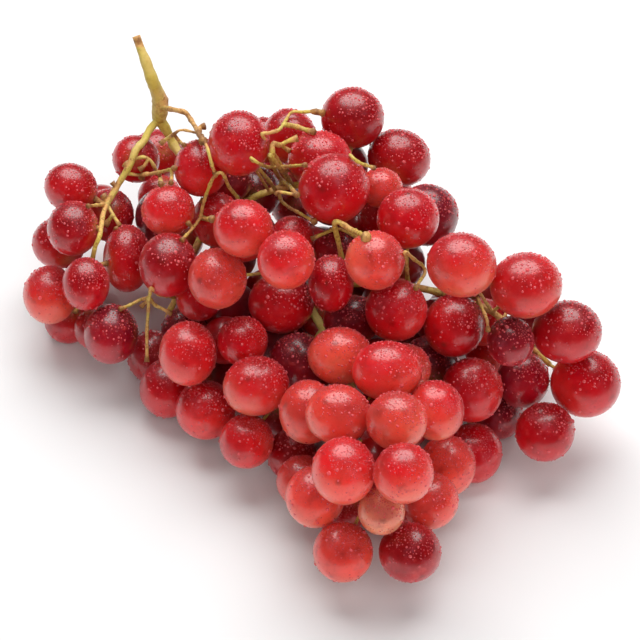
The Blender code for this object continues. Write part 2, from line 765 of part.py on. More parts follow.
def berry_mesh(berry, turn):
    mesh = bmesh.new()
    if berry.buried:
        bmesh.ops.create_uvsphere(mesh, u_segments=BURIED_SIDES, v_segments=BURIED_RINGS,
                                  radius=1.0)
        bmesh.ops.triangulate(mesh, faces=mesh.faces[:])
    else:
        bmesh.ops.create_icosphere(mesh, subdivisions=BERRY_STEPS, radius=1.0)
    spin = Matrix.Rotation(turn, 3, "Z") @ Matrix.Rotation(turn * 1.7, 3, "X")
    for vert in mesh.verts:
        place = spin @ vert.co
        offset = sum(berry.axes[k] * berry.half[k] * place[k] for k in range(3))
        vert.co = Vector(berry.centre + FACET_GROWTH * offset)
    if np.linalg.det(berry.axes) < 0.0:
        bmesh.ops.reverse_faces(mesh, faces=mesh.faces[:])
    data = bpy.data.meshes.new(berry.name)
    mesh.to_mesh(data)
    mesh.free()
    return data


def spray_necks(members, berries, stems):
    """The shortest set of joints that holds the berries of a spray together."""
    bones, thick = stems
    others = [b for b in berries if b.spray != members[0].spray]
    other_centres = np.array([b.centre for b in others])
    other_radii = np.array([b.radius for b in others])
    edges = []
    for i, a in enumerate(members):
        for j in range(i + 1, len(members)):
            b = members[j]
            gap = float(np.linalg.norm(a.centre - b.centre)) - a.radius - b.radius
            if gap > NECK_LONGEST:
                continue
            price = gap
            for share in NECK_SPOTS:
                spot = a.centre + share * (b.centre - a.centre)
                room = float((np.linalg.norm(bones - spot, axis=1) - thick).min())
                apart = np.linalg.norm(other_centres - spot, axis=1) - other_radii
                room = min(room, float(apart.min()))
                if room < NECK_RADIUS + STEM_GAP:
                    price += NECK_CROWDED
            edges.append((price, i, j))
    edges.sort()
    group = list(range(len(members)))

    def root(i):
        while group[i] != i:
            i = group[i]
        return i

    joints = []
    for _, i, j in edges:
        if root(i) != root(j):
            group[root(i)] = root(j)
            joints.append((members[i], members[j]))
    return joints


def combine(target, objects, operation):
    """Applies one Boolean with a collection of objects, then removes them."""
    store = bpy.data.collections.new("combine")
    bpy.context.scene.collection.children.link(store)
    for obj in objects:
        store.objects.link(obj)
        obj.hide_render = True
        obj.display_type = "WIRE"
    cut = target.modifiers.new("combine", "BOOLEAN")
    cut.operation = operation
    cut.operand_type = "COLLECTION"
    cut.collection = store
    cut.solver = "MANIFOLD"
    bpy.context.view_layer.update()
    graph = bpy.context.evaluated_depsgraph_get()
    result = bpy.data.meshes.new_from_object(target.evaluated_get(graph))
    target.modifiers.clear()
    target.data = result
    for obj in objects:
        bpy.data.objects.remove(obj)
    bpy.data.collections.remove(store)


def shell_volume(faces):
    total = 0.0
    for face in faces:
        a, b, c = [v.co for v in face.verts]
        total += a.dot(b.cross(c)) / 6.0
    return total


def keep_one_body(obj):
    """Fills sealed hollows and drops loose scraps."""
    mesh = bmesh.new()
    mesh.from_mesh(obj.data)
    bmesh.ops.triangulate(mesh, faces=mesh.faces[:])
    left = set(mesh.faces)
    shells = []
    while left:
        stack = [left.pop()]
        shell = []
        while stack:
            face = stack.pop()
            shell.append(face)
            joined = [edge for edge in face.edges if len(edge.link_faces) == 2]
            for other in {f for edge in joined for f in edge.link_faces} & left:
                left.remove(other)
                stack.append(other)
        shells.append(shell)
    shells.sort(key=shell_volume, reverse=True)
    for shell in shells[1:]:
        bmesh.ops.delete(mesh, geom=shell, context="FACES")
    loose = [v for v in mesh.verts if not v.link_faces]
    bmesh.ops.delete(mesh, geom=loose, context="VERTS")
    bmesh.ops.recalc_face_normals(mesh, faces=mesh.faces[:])
    mesh.to_mesh(obj.data)
    mesh.free()


def make_material(name, colour, roughness):
    material = bpy.data.materials.new(name)
    material.use_nodes = True
    shader = material.node_tree.nodes["Principled BSDF"]
    shader.inputs["Base Color"].default_value = colour
    shader.inputs["Roughness"].default_value = roughness
    shader.inputs["Metallic"].default_value = 0.0
    material.diffuse_color = colour
    return material


def finish_object(obj, colour, roughness):
    obj.data.materials.clear()
    obj.data.materials.append(make_material(obj.name + "_material", colour, roughness))
    for face in obj.data.polygons:
        face.use_smooth = True
        face.material_index = 0


def surface_box():
    mesh = bmesh.new()
    bmesh.ops.create_cube(mesh, size=1.0)
    for vert in mesh.verts:
        vert.co = Vector((vert.co.x, vert.co.y, (vert.co.z - 0.5) * SURFACE_DEPTH))
    data = bpy.data.meshes.new("below_surface")
    mesh.to_mesh(data)
    mesh.free()
    return new_object("below_surface", data)


def run_pieces(lines, grow, near=None):
    """Tubes for the stem runs; with berries given, only for the runs that come near them."""
    pieces = []
    for k, (line, sizes) in enumerate(lines):
        if near is not None and run_clearance((line, sizes), near) > STEM_GAP:
            continue
        sides = next((n for least, n in STEM_SIDES if sizes.mean() >= least), TWIG_SIDES)
        full = THIN_GROWTH if sides == TWIG_SIDES else 1.0
        mesh = tube_mesh(f"run{k}", line, sizes * full, sides, grow)
        pieces.append(new_object(f"run{k}", mesh))
    return pieces


def build_stem(lines, pedicels):
    pieces = run_pieces(lines, 0.0)
    for k, (line, sizes) in enumerate(pedicels):
        mesh = tube_mesh(f"pedicel{k}", line, sizes, PEDICEL_SIDES)
        pieces.append(new_object(f"pedicel{k}", mesh))
    stem = pieces[0]
    combine(stem, pieces[1:], "UNION")
    stem.name = "stem"
    keep_one_body(stem)
    finish_object(stem, STEM_COLOUR, STEM_ROUGHNESS)
    return stem


def build_spray(letter, berries, lines, stems):
    members = [b for b in berries if b.spray == letter]
    pieces = [new_object(b.name, berry_mesh(b, BERRY_TURN * k)) for k, b in enumerate(members)]
    for k, (a, b) in enumerate(spray_necks(members, berries, stems)):
        course = (b.centre - a.centre) / np.linalg.norm(b.centre - a.centre)
        ends = np.array([
            a.centre + course * a.radius * NECK_REACH,
            b.centre - course * b.radius * NECK_REACH,
        ])
        mesh = tube_mesh(f"neck{k}", ends, [NECK_RADIUS] * 2, NECK_SIDES)
        pieces.append(new_object(f"neck{k}", mesh))
    spray = pieces[0]
    combine(spray, pieces[1:], "UNION")
    cutters = run_pieces(lines, STEM_GAP, members) + [surface_box()]
    combine(spray, cutters, "DIFFERENCE")
    spray.name = SPRAYS[letter]
    keep_one_body(spray)
    finish_object(spray, SPRAY_COLOURS[letter], BERRY_ROUGHNESS)
    return spray


def main():
    for obj in list(bpy.data.objects):
        bpy.data.objects.remove(obj)
    view = Viewpoint()
    berries = place_seen(view)
    lines, skeleton = place_stems(view, berries)
    berries += fill_hidden(view, berries, lines)
    stalks = place_pedicels(berries, skeleton)
    pedicels = [(line, sizes) for line, sizes, clear in stalks if clear]
    build_stem(lines, pedicels)
    stems = stem_samples(lines + pedicels, SAMPLE_STEP)
    for letter in SPRAYS:
        build_spray(letter, berries, lines, stems)


main()
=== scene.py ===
from collections import namedtuple
from itertools import combinations
from math import ceil, cos, exp, hypot, inf, nan, pi, radians, sin, sqrt

import bmesh
import bpy
import numpy as np
from mathutils import Matrix, Vector, noise
from numpy.linalg import norm


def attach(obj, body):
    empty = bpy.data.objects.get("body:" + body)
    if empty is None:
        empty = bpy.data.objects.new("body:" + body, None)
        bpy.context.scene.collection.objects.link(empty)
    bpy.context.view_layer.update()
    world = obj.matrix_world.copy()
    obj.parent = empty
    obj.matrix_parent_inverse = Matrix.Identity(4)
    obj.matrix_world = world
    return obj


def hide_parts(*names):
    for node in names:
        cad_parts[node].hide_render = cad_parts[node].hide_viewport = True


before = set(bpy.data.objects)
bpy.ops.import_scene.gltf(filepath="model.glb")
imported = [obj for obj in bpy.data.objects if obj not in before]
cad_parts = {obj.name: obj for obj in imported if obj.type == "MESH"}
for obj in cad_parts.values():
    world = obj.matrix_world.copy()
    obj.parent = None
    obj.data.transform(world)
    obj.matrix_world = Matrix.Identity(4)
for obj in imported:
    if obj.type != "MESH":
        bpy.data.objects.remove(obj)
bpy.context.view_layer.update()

MM = 0.001

# Size of the bunch and its berries
BERRY_DIAMETER = 21.0 * MM  # a typical berry, 60 steps of the picture across
PIXEL_SIZE = BERRY_DIAMETER / 60.0
HEAP_RISE = 82.0 * MM  # height of the upper berries above the lowest
HEAP_SPAN = 95.0 * MM  # how soon the heap reaches that height
REST_FLAT = 0.9 * MM  # how far the lowest berries flatten on the surface
BURIED_TUCK = 16.0 * MM  # how much deeper a fully covered berry lies
JOIN_GAP = 0.45 * MM  # between berries of one spray
SPRAY_GAP = 0.75 * MM  # between berries of two sprays
STEM_GAP = 0.35 * MM  # between stem and berries
SHARE_PARTS = 10.0  # grid on a berry's disc that tells what hides it
SHARE_EDGE = 20
FACET_GROWTH = 1.03  # makes up for the flats of a faceted berry
SETTLE_ROUNDS = 2600
SETTLE_PULL = 0.25  # how firmly wished depths draw at first
SETTLE_HOLD = 0.75  # share of the rounds in which they draw

# Viewpoint
FRAME_SIDE = 640.0
VIEW_ELEVATION = radians(45.0)
VIEW_DISTANCE = 1.0
VIEW_AIM = Vector((0.9 * MM, 8.7 * MM, 30.0 * MM))

# Berries out of sight
HIDDEN_SEED = 21
HIDDEN_TRIES = 26000
HIDDEN_LIMIT = 54
HIDDEN_RADIUS = (8.4 * MM, 10.4 * MM)
HIDDEN_UNEVEN = 0.02
HIDDEN_RIPENESS = (3, 6)  # classes from 3 to 5
HIDDEN_LOW = MM * np.array((-95.0, -95.0, -22.0))  # corners of their space, from the aim
HIDDEN_HIGH = MM * np.array((90.0, 60.0, 45.0))
LANDING_BONUS = 6.0 * MM  # for berries that reach the surface
LANDING_SLACK = 0.1 * MM
STEM_REACH = 17.0 * MM  # further out a berry is less likely
STRAY_WEIGHT = 0.6
WEDGE_COUNT = 4
SHOWN_BONUS = 20.0 * MM  # for berries that close a dark gap
SHOWN_LIMIT = 0.5
HIDDEN_SLACK = 2.0 * MM  # least distance behind the berry that hides it
DISC_RINGS = ((0.0, 1), (0.5, 8), (0.97, 16))  # where a disc is tried, and how often
CLEAR_MARGIN = 2.0
MAP_CELL = 4.0  # of the picture grids
ENCLOSE_CELLS = 9

# Courses of the stem
STEM_STEP = 9.0 * MM  # between the rings of a stem
STEM_SLACK = 0.2 * MM  # added to the gap while a stem is moved
STEM_LOW = 1.0 * MM  # least height of a stem
TWIG_SLACK = 0.3 * MM
BONE_LOW = 8.0 * MM  # and of the stem inside the bunch
NEAR_SPREAD = 150.0  # softens the nearest berry's weight
PUSH_ROUNDS = 60
PUSH_SHARE = 0.5
LEAST_APART = 0.1 * MM
SMOOTH_ROUNDS = 50
SMOOTH_SHARE = 0.2
SAMPLE_STEP = 3.0 * MM
ROOT_CHOICES = 26  # roots tried for a short stalk
CROSSING_PRICE = 4.0  # for passing through another berry

# Short stalks of the berries
BURIED_SHARE = 0.45  # covered share from which a berry is buried
PEDICEL_RADIUS = 0.95 * MM
CROSSING_STEPS = 9
RUN_STEP = 1.5 * MM
ROOT_SPACING = 5.0 * MM

# Sprays of berries
SPRAYS = {
    "W": "left_wing", "L": "left_flank", "M": "middle",
    "T": "crown", "R": "right_wing", "C": "tail",
}

# Seen berries, nearest first: spray, across, down, width, height, ripeness, and the lean in
# degrees where there is one
SEEN_BERRIES = """
C 403.5 473.5 61 61 2
C 343.5 471 65 68 2
C 396.5 421 61 60 1
C 338 414.5 65 61 1
C 381.5 511 47 48 0
C 436 410.5 56 61 2
C 343 552 60 61 1
C 410 552.5 63 61 4
C 387 371 70 60 2
C 308 412 58 65 1
C 340 356 65 58 1
C 430 501 58 58 1
C 315 497 59 62 1
C 447 466 58 62 1
C 404 369 54 52 1
C 302 481 51 52 1
L 256 386 67 60 2 -12
L 242.5 341 51 50 3
L 188 353.5 58 66 2
L 246.5 441.5 55 55 2
L 205.5 410 60 60 3
M 375 260.5 60 60 1
T 408 218.5 63 61 3
R 461.5 265 71 65 2 15
R 526 285.5 73 67 2
R 510.5 341.5 47 50 5
R 567 332 71 64 4
R 545 432 60 59 4
R 585.5 383.5 71 69 3
M 396 310 62 64 3
M 454 325.5 62 64 4
R 472 390 62 66 3
R 523 380 53 57 5
R 473.5 453 58 61 3
R 498 413 50 54 5
M 286 260 58 60 2
M 243 228.5 60 58 2
M 217.5 278.5 59 62 1
M 331 283.5 46 57 4
M 281 303 66 62 4
M 292 237 44 42 3
T 334 188.5 72 71 3
T 320 160 64 58 3
T 352.5 118 63 61 4
T 381 188 44 40 1
T 399 158 64 58 4 20
T 427 215 64 62 5
M 239 143.5 62 65 3
T 289 136 54 55 3
T 264 140 46 46 4
W 73 228.5 52 55 4
W 71 188 54 49 4 25
W 86 284 47 53 4
W 50 295 54 58 2
W 59 243 54 52 4
W 168 265 59 64 4
W 127 258.5 48 68 3
W 168 210.5 54 51 2
M 201 168 54 58 3
W 109 215 50 53 4
W 136 159 48 48 4
W 160.5 217 51 56 5
W 160 197 45 44 3
W 157 155 54 52 4
M 217 220 50 56 2
M 199 298 46 46 3
L 111 334 54 60 5
L 97 329 46 43 4
L 68 320 48 48 4
L 184 330 46 45 5
L 168 388 57 60 4
L 153 357 50 54 4
M 228 178 50 50 5
T 256 192 52 52 5
T 282 174 46 48 4
T 294 206 46 46 5
T 382 216 48 50 4
M 338 250 50 48 5
M 352 320 58 50 5
M 299 362 60 58 5
R 483 322 50 48 3
R 488 352 46 46 3
R 430 362 54 54 5
C 292 455 50 52 4
C 284 424 46 46 5
C 340 512 50 46 4
"""
# Front rim of the heap, where its lowest berries touch the surface
FRONT_EDGE = (
    (45, 320), (110, 335), (168, 388), (246, 441), (343, 552),
    (410, 552), (473, 455), (545, 431), (586, 384),
)
# Places where the surface shows between the berries
CLEAR_SPOTS = ((277, 219), (424, 257), (505, 314), (540, 355), (548, 393), (130, 190))

# Stalk of the bunch: across, down, height in millimetres, radius in millimetres
STALK = ((136, 36, 96, 1.5), (141, 50, 92, 1.5), (145, 60, 89, 1.9), (152, 80, 82, 2.2),
         (156.5, 91, 76, 2.4), (160, 101, 71, 3.0), (160, 110, 67, 3.1), (159, 119, 63, 2.7))

# Stem inside the bunch: across, down, how far it runs behind the berries in front of it,
# radius in millimetres
MAIN_STEM = ((159, 119, None, 2.5), (167, 131, None, 1.9), (173, 144, None, 1.8),
             (180, 160, 8, 1.8), (215, 200, 13, 1.8), (262, 245, 15, 1.8),
             (305, 285, 15, 1.7), (340, 330, 15, 1.7), (362, 385, 16, 1.6),
             (372, 440, 14, 1.5), (376, 478, 9, 1.3))
LEFT_LIMB = ((157, 121), (149, 131), (144, 141), (136, 150), (130, 165), (118, 185), (107, 204))
# Branches to the left flank, crown, right wing, lower right and left of the tail: how far they
# run behind the berries, then the points across and down
BRANCHES = """
13 215 200 196 250 176 300 172 345 205 385
13 215 200 250 185 300 172 345 160 395 190
14 305 285 365 265 420 268 470 292 515 325 550 365
15 340 330 390 350 445 370 490 395
13 340 330 305 360 275 405
"""
BRANCH_RADII = (1.6 * MM, 1.1 * MM)
LIMB_RADII = (1.2 * MM, 1.0 * MM)
WING_TIP = ((95, 247), (92, 270), (84, 300))
TIP_RADII = (1.0 * MM, 0.9 * MM)
TIP_TUCK = 9.0 * MM

# Bare twigs that show: radius in millimetres, then the points across and down
TWIGS = """
1.0 107 204 103 215 100 235 95 247
0.9 107 204 98 205 88 206
0.9 107 204 113 215 120 226
1.3 164 106 180 111 186 113 191 120 196 128 199 135 203 141
0.9 203 138 208 150 212 165 215 173
0.9 222 173 214 177 208 190 203 205 200 218 193 228 182 240
0.9 134 158 143 157 150 160 155 168 158 174
0.9 126 172 140 175 160 172 175 168
1.1 270 155 273 165 280 178 290 187 297 195
0.9 262 134 269 133 280 129 286 120 292 112 303 112 317 111
0.9 251 158 258 163 268 167 280 167 305 165
0.9 282 180 279 190 281 200 290 208 303 215 315 222
1.4 335 222 352 230 366 237
0.9 405 252 415 260 423 266 425 273 420 281 416 288
0.9 350 155 358 162 374 168
0.9 340 229 325 233 311 239
0.9 478 298 483 310 487 320 488 330
0.9 151 288 149 297 140 300 130 305 120 309
0.9 149 297 155 305 163 309 172 314
0.9 149 297 148 315 147 330 147 362
"""
FORK_DIVE = 2.0 * MM  # how much deeper each first point of the main stem lies
SNAP = 8.0  # a twig that starts this near a stem in the picture joins it
ROOT_DIVE = 10.0 * MM  # how far a twig's root dives behind its first seen point
TWIG_TAPER = (1.1, 0.9)
BONE_STEP = 2.0 * MM

Row = namedtuple("Row", "spray across down width height lean ripeness")


class Viewpoint:
    """Turns a place in the picture into a place round the bunch."""

    def __init__(self):
        s, c = sin(VIEW_ELEVATION), cos(VIEW_ELEVATION)
        self.right = np.array((1.0, 0.0, 0.0))
        self.up = np.array((0.0, s, c))
        self.back = np.array((0.0, -c, s))
        self.eye = np.array(VIEW_AIM) + VIEW_DISTANCE * self.back
        self.steps = VIEW_DISTANCE / PIXEL_SIZE

    def ray(self, across, down):
        side = (across - FRAME_SIDE / 2.0) / self.steps
        lift = (FRAME_SIDE / 2.0 - down) / self.steps
        return -self.back + side * self.right + lift * self.up

    def at(self, across, down, depth):
        return self.eye + depth * self.ray(across, down)

    def depth_at_height(self, across, down, height):
        return (height - self.eye[2]) / self.ray(across, down)[2]

    def see(self, point):
        offset = np.asarray(point) - self.eye
        depth = -offset @ self.back
        across = FRAME_SIDE / 2.0 + self.steps * (offset @ self.right) / depth
        down = FRAME_SIDE / 2.0 - self.steps * (offset @ self.up) / depth
        return across, down, depth


class Berry:
    """One berry: an ellipsoid with its own axes."""

    def __init__(self, spray, centre, axes, half, ripeness, buried, hidden=False):
        self.centre, self.axes, self.half = map(np.asarray, (centre, axes, half))
        self.spray, self.ripeness = spray, ripeness
        self.buried, self.hidden = buried, hidden
        self.radius = float(np.mean(half))


# Depths of the seen berries

def read_seen():
    rows = []
    for line in SEEN_BERRIES.strip().split("\n"):
        spray, *values = line.split()
        *shape, ripeness, lean = (*map(float, values), 0.0)[:6]
        rows.append(Row(spray, *shape, radians(lean), int(ripeness)))
    return rows


def read_lines(text):
    """Rows of a first measure in millimetres and then points across and down."""
    for line in text.strip().split("\n"):
        first, *values = map(float, line.split())
        yield first * MM, list(zip(values[::2], values[1::2]))


def covered_share(row, nearer):
    """Share of a berry's disc that nearer berries hide."""
    i, j = np.mgrid[-4:5, -4:5]
    disc = i * i + j * j <= SHARE_EDGE
    across = row.across + i[disc] * row.width / SHARE_PARTS
    down = row.down + j[disc] * row.height / SHARE_PARTS
    hidden = np.zeros(len(across), bool)
    for other in nearer:
        u = 2.0 * (across - other.across) / other.width
        v = 2.0 * (down - other.down) / other.height
        hidden |= u * u + v * v < 1.0
    return float(hidden.mean())


def half_toward(row, across, down):
    c, s = cos(row.lean), sin(row.lean)
    u, v = c * across + s * down, c * down - s * across
    return hypot(u * row.width / 2.0, v * row.height / 2.0)


def pair_needs(rows):
    """For each two berries that meet in the picture: how much deeper the second lies."""
    needs = []
    for (i, a), (j, b) in combinations(enumerate(rows), 2):
        across, down = b.across - a.across, b.down - a.down
        apart = hypot(across, down)
        u, v = across / apart, down / apart
        gap = (JOIN_GAP if a.spray == b.spray else SPRAY_GAP) / PIXEL_SIZE
        reach = half_toward(a, u, v) + half_toward(b, u, v) + gap
        if apart < reach:
            deep = (a.width + a.height + b.width + b.height) / 4.0 + gap
            part = sqrt(1.0 - (apart / reach) ** 2)
            needs.append((i, j, part * deep * PIXEL_SIZE))
    return needs


def settle_depths(view, rows):
    """Depths that keep every berry behind what hides it and above the surface."""
    wish, limit, shares = [], [], []
    for i, row in enumerate(rows):
        rise = (float(np.interp(row.across, *zip(*FRONT_EDGE))) - row.down) * PIXEL_SIZE
        radius = (row.width + row.height) / 4.0 * PIXEL_SIZE
        height = BERRY_DIAMETER / 2.0 + HEAP_RISE * (1.0 - exp(-max(rise, 0.0) / HEAP_SPAN))
        share = covered_share(row, rows[:i])
        shares.append(share)
        depth = view.depth_at_height(row.across, row.down, height)
        deepest = view.depth_at_height(row.across, row.down, radius - REST_FLAT)
        wish.append(min(depth + BURIED_TUCK * share, deepest))
        limit.append(deepest)
    wish = np.array(wish)
    depths = wish.copy()
    needs = pair_needs(rows)
    for step in range(SETTLE_ROUNDS):
        pull = SETTLE_PULL * max(0.0, 1.0 - step / (SETTLE_HOLD * SETTLE_ROUNDS)) ** 2
        depths += pull * (wish - depths)
        for i, j, need in needs:
            short = need - (depths[j] - depths[i])
            if short > 0.0:
                push = min(short / 2.0, max(limit[j] - depths[j], 0.0))
                depths[j] += push
                depths[i] -= short - push
    return depths, shares


def place_seen(view):
    rows = read_seen()
    berries = []
    for row, depth, share in zip(rows, *settle_depths(view, rows)):
        size = depth / view.steps
        c, s = cos(row.lean), sin(row.lean)
        axes = (c * view.right - s * view.up, s * view.right + c * view.up, view.back)
        half = (
            row.width / 2.0 * size,
            row.height / 2.0 * size,
            (row.width + row.height) / 4.0 * size,
        )
        centre = view.at(row.across, row.down, depth)
        buried = share > BURIED_SHARE
        berries.append(Berry(row.spray, centre, axes, half, row.ripeness, buried))
    return berries


# Stem

def smooth_path(points, radii, spacing=STEM_STEP):
    """A rounded line through the points, with a radius at each step."""
    points = [np.asarray(p, float) for p in points]
    ends = [2.0 * points[0] - points[1]] + points + [2.0 * points[-1] - points[-2]]
    line, sizes = [], []
    for k in range(len(points) - 1):
        p0, p1, p2, p3 = ends[k:k + 4]
        count = max(1, round(float(norm(p2 - p1)) / spacing))
        for i in range(count):
            t = i / count
            bend = (2.0 * p1 + (p2 - p0) * t + (2.0 * p0 - 5.0 * p1 + 4.0 * p2 - p3) * t * t
                    + (3.0 * p1 - 3.0 * p2 + p3 - p0) * t ** 3)
            line.append(0.5 * bend)
            sizes.append(radii[k] + (radii[k + 1] - radii[k]) * t)
    line.append(points[-1])
    sizes.append(radii[-1])
    return np.array(line), np.array(sizes)


def push_clear(line, sizes, berries, fixed):
    """Moves the free points of a stem out of the berries it would cross."""
    line = line.copy()
    centres = np.array([b.centre for b in berries])
    radii = np.array([b.radius for b in berries])
    for step in range(PUSH_ROUNDS):
        for k in range(len(line)):
            if k in fixed:
                continue
            away = line[k] - centres
            apart = norm(away, axis=1)
            short = radii + sizes[k] + STEM_GAP + STEM_SLACK - apart
            for i in np.nonzero(short > 0.0)[0]:
                line[k] += PUSH_SHARE * short[i] * away[i] / max(apart[i], LEAST_APART)
            line[k][2] = max(line[k][2], sizes[k] + STEM_LOW)
        if step < SMOOTH_ROUNDS:
            for k in range(1, len(line) - 1):
                if k not in fixed:
                    line[k] += SMOOTH_SHARE * ((line[k - 1] + line[k + 1]) / 2.0 - line[k])
    return line


def spans(points, place):
    return norm(points - place, axis=1)


def taper(count, radii):
    return [radii[0] + (radii[1] - radii[0]) * k / (count - 1) for k in range(count)]


def twig_depth(berries, seen, across, down, radius):
    """Depth at which a twig passes just in front of what it crosses."""
    weight_sum, depth_sum, nearest = 0.0, 0.0, inf
    for berry, (x, y, depth) in zip(berries, seen):
        apart = hypot(across - x, down - y)
        disc = berry.radius / PIXEL_SIZE
        weight = 1.0 / (apart * apart + NEAR_SPREAD)
        weight_sum += weight
        depth_sum += weight * depth
        margin = (radius + STEM_GAP + TWIG_SLACK) / PIXEL_SIZE
        if apart < disc + margin:
            ahead = sqrt((disc + margin) ** 2 - apart * apart) * PIXEL_SIZE
            nearest = min(nearest, depth - ahead)
    return min(depth_sum / weight_sum, nearest)


def behind_depth(view, seen, across, down, tuck):
    """Depth a little behind the berries that show round a place in the picture."""
    apart = (seen[:, 0] - across) ** 2 + (seen[:, 1] - down) ** 2
    weights = 1.0 / (apart + NEAR_SPREAD)
    depth = float((weights * seen[:, 2]).sum() / weights.sum()) + tuck
    return min(depth, view.depth_at_height(across, down, BONE_LOW))


def nearest_bone(bones, point):
    return bones[np.argmin(spans(bones, point))]


def twig_root(view, bones, place, first, radius, berries):
    """Where a twig leaves the stem: at a stem beside it, or out of sight behind its start."""
    pictured = np.array([view.see(bone)[:2] for bone in bones])
    apart = np.hypot(pictured[:, 0] - place[0], pictured[:, 1] - place[1])
    if apart.min() < SNAP:
        return [bones[np.argmin(apart)]]
    dive = view.at(*place, view.see(first)[2] + ROOT_DIVE)
    root = nearest_bone(bones, dive)
    bend = push_clear(np.array([root, (root + dive) / 2.0, dive, first]), [radius] * 4,
                      berries, {0, 3})
    return list(bend)


def place_stems(view, berries):
    """Every stem line with its radii: the hidden skeleton first, then what shows."""
    seen = np.array([view.see(b.centre) for b in berries])
    stalk = [view.at(x, y, view.depth_at_height(x, y, z * MM)) for x, y, z, _ in STALK]
    lines = [smooth_path(stalk, [p[3] * MM for p in STALK])]
    fork = view.see(stalk[-1])[2]
    path = []
    for k, (across, down, tuck, _) in enumerate(MAIN_STEM):
        depth = fork + FORK_DIVE * k
        if tuck is not None:
            depth = behind_depth(view, seen, across, down, tuck * MM)
        path.append(view.at(across, down, depth))
    main, sizes = smooth_path(path, [p[3] * MM for p in MAIN_STEM])
    main = push_clear(main, sizes, berries, {0, 1, 2})
    lines.append((main, sizes))
    limb = [view.at(*LEFT_LIMB[0], fork)]
    limb += [view.at(x, y, twig_depth(berries, seen, x, y, MM)) for x, y in LEFT_LIMB[1:]]
    lines.append(smooth_path(limb, taper(len(limb), LIMB_RADII)))
    for tuck, points in read_lines(BRANCHES):
        path = [view.at(x, y, behind_depth(view, seen, x, y, tuck)) for x, y in points]
        path[0] = nearest_bone(main, path[0])
        line, sizes = smooth_path(path, taper(len(path), BRANCH_RADII))
        lines.append((push_clear(line, sizes, berries, {0}), sizes))
    skeleton = list(lines)
    bones, _ = stem_samples(skeleton, BONE_STEP)
    ends = {LEFT_LIMB[-1]: limb[-1]}
    for radius, points in read_lines(TWIGS):
        depths = [twig_depth(berries, seen, x, y, radius) for x, y in points]
        depths = [min(depths[max(0, k - 1):k + 2]) * 0.5 + depths[k] * 0.5
                  for k in range(len(depths))]
        path = [view.at(x, y, t) for (x, y), t in zip(points, depths)]
        if points[0] in ends:
            path[0] = ends[points[0]]
        else:
            path[:1] = twig_root(view, bones, points[0], path[0], radius, berries)
        for place, point in zip(points[::-1], path[::-1]):
            ends.setdefault(place, point)
        ends_at = [radius * part for part in TWIG_TAPER]
        lines.append(smooth_path(path, taper(len(path), ends_at)))
    path = [ends[WING_TIP[0]]]
    path += [view.at(x, y, behind_depth(view, seen, x, y, TIP_TUCK)) for x, y in WING_TIP[1:]]
    tip, sizes = smooth_path(path, taper(len(path), TIP_RADII))
    tip = (push_clear(tip, sizes, berries, {0}), sizes)
    return lines + [tip], skeleton + [lines[len(skeleton)], tip]


def stem_samples(lines, spacing):
    """Points and radii at even steps along every stem line."""
    points, sizes = [], []
    for line, radii in lines:
        for k in range(len(line) - 1):
            span = float(norm(line[k + 1] - line[k]))
            count = max(1, ceil(span / spacing))
            for i in range(count):
                t = i / count
                points.append(line[k] + (line[k + 1] - line[k]) * t)
                sizes.append(radii[k] + (radii[k + 1] - radii[k]) * t)
        points.append(line[-1])
        sizes.append(radii[-1])
    return np.array(points), np.array(sizes)


# Berries out of sight

def circle(count):
    return [2.0 * pi * k / count for k in range(count)]


def picture_maps(seen):
    """Grids over the picture: nearest seen depth, and where berries stand all round."""
    cells = np.arange(0.0, FRAME_SIDE, MAP_CELL) + MAP_CELL / 2.0
    across, down = np.meshgrid(cells, cells)
    nearest = np.full(across.shape, np.inf)
    for x, y, depth, width, height in seen:
        u, v = 2.0 * (across - x) / width, 2.0 * (down - y) / height
        disc = u * u + v * v < 1.0
        nearest[disc] = np.minimum(nearest[disc], depth)
    covered = np.isfinite(nearest)
    enclosed = np.ones(covered.shape, bool)
    for i, j in ((1, 0), (1, 1), (0, 1), (-1, 1), (-1, 0), (-1, -1), (0, -1), (1, -1)):
        hit = np.zeros(covered.shape, bool)
        for step in range(1, ENCLOSE_CELLS + 1):
            hit |= np.roll(covered, (step * i, step * j), (0, 1))
        enclosed &= hit
    return nearest, covered, covered | enclosed


def visible_share(view, maps, centre, radius):
    """Share of a berry's disc that shows between the seen ones; nan where it can't lie."""
    across, down, depth = view.see(centre)
    disc = radius / depth * view.steps
    for x, y in CLEAR_SPOTS:
        if hypot(across - x, down - y) < disc + CLEAR_MARGIN:
            return nan
    nearest, covered, inside = maps
    shown, total = 0, 0
    for ring, count in DISC_RINGS:
        for angle in circle(count):
            column = int((across + ring * disc * cos(angle)) / MAP_CELL)
            row = int((down + ring * disc * sin(angle)) / MAP_CELL)
            total += 1
            if not inside[row, column]:
                return nan
            if not covered[row, column]:
                shown += 1
            elif nearest[row, column] > depth - HIDDEN_SLACK:
                return nan
    return shown / total if shown <= SHOWN_LIMIT * total else nan


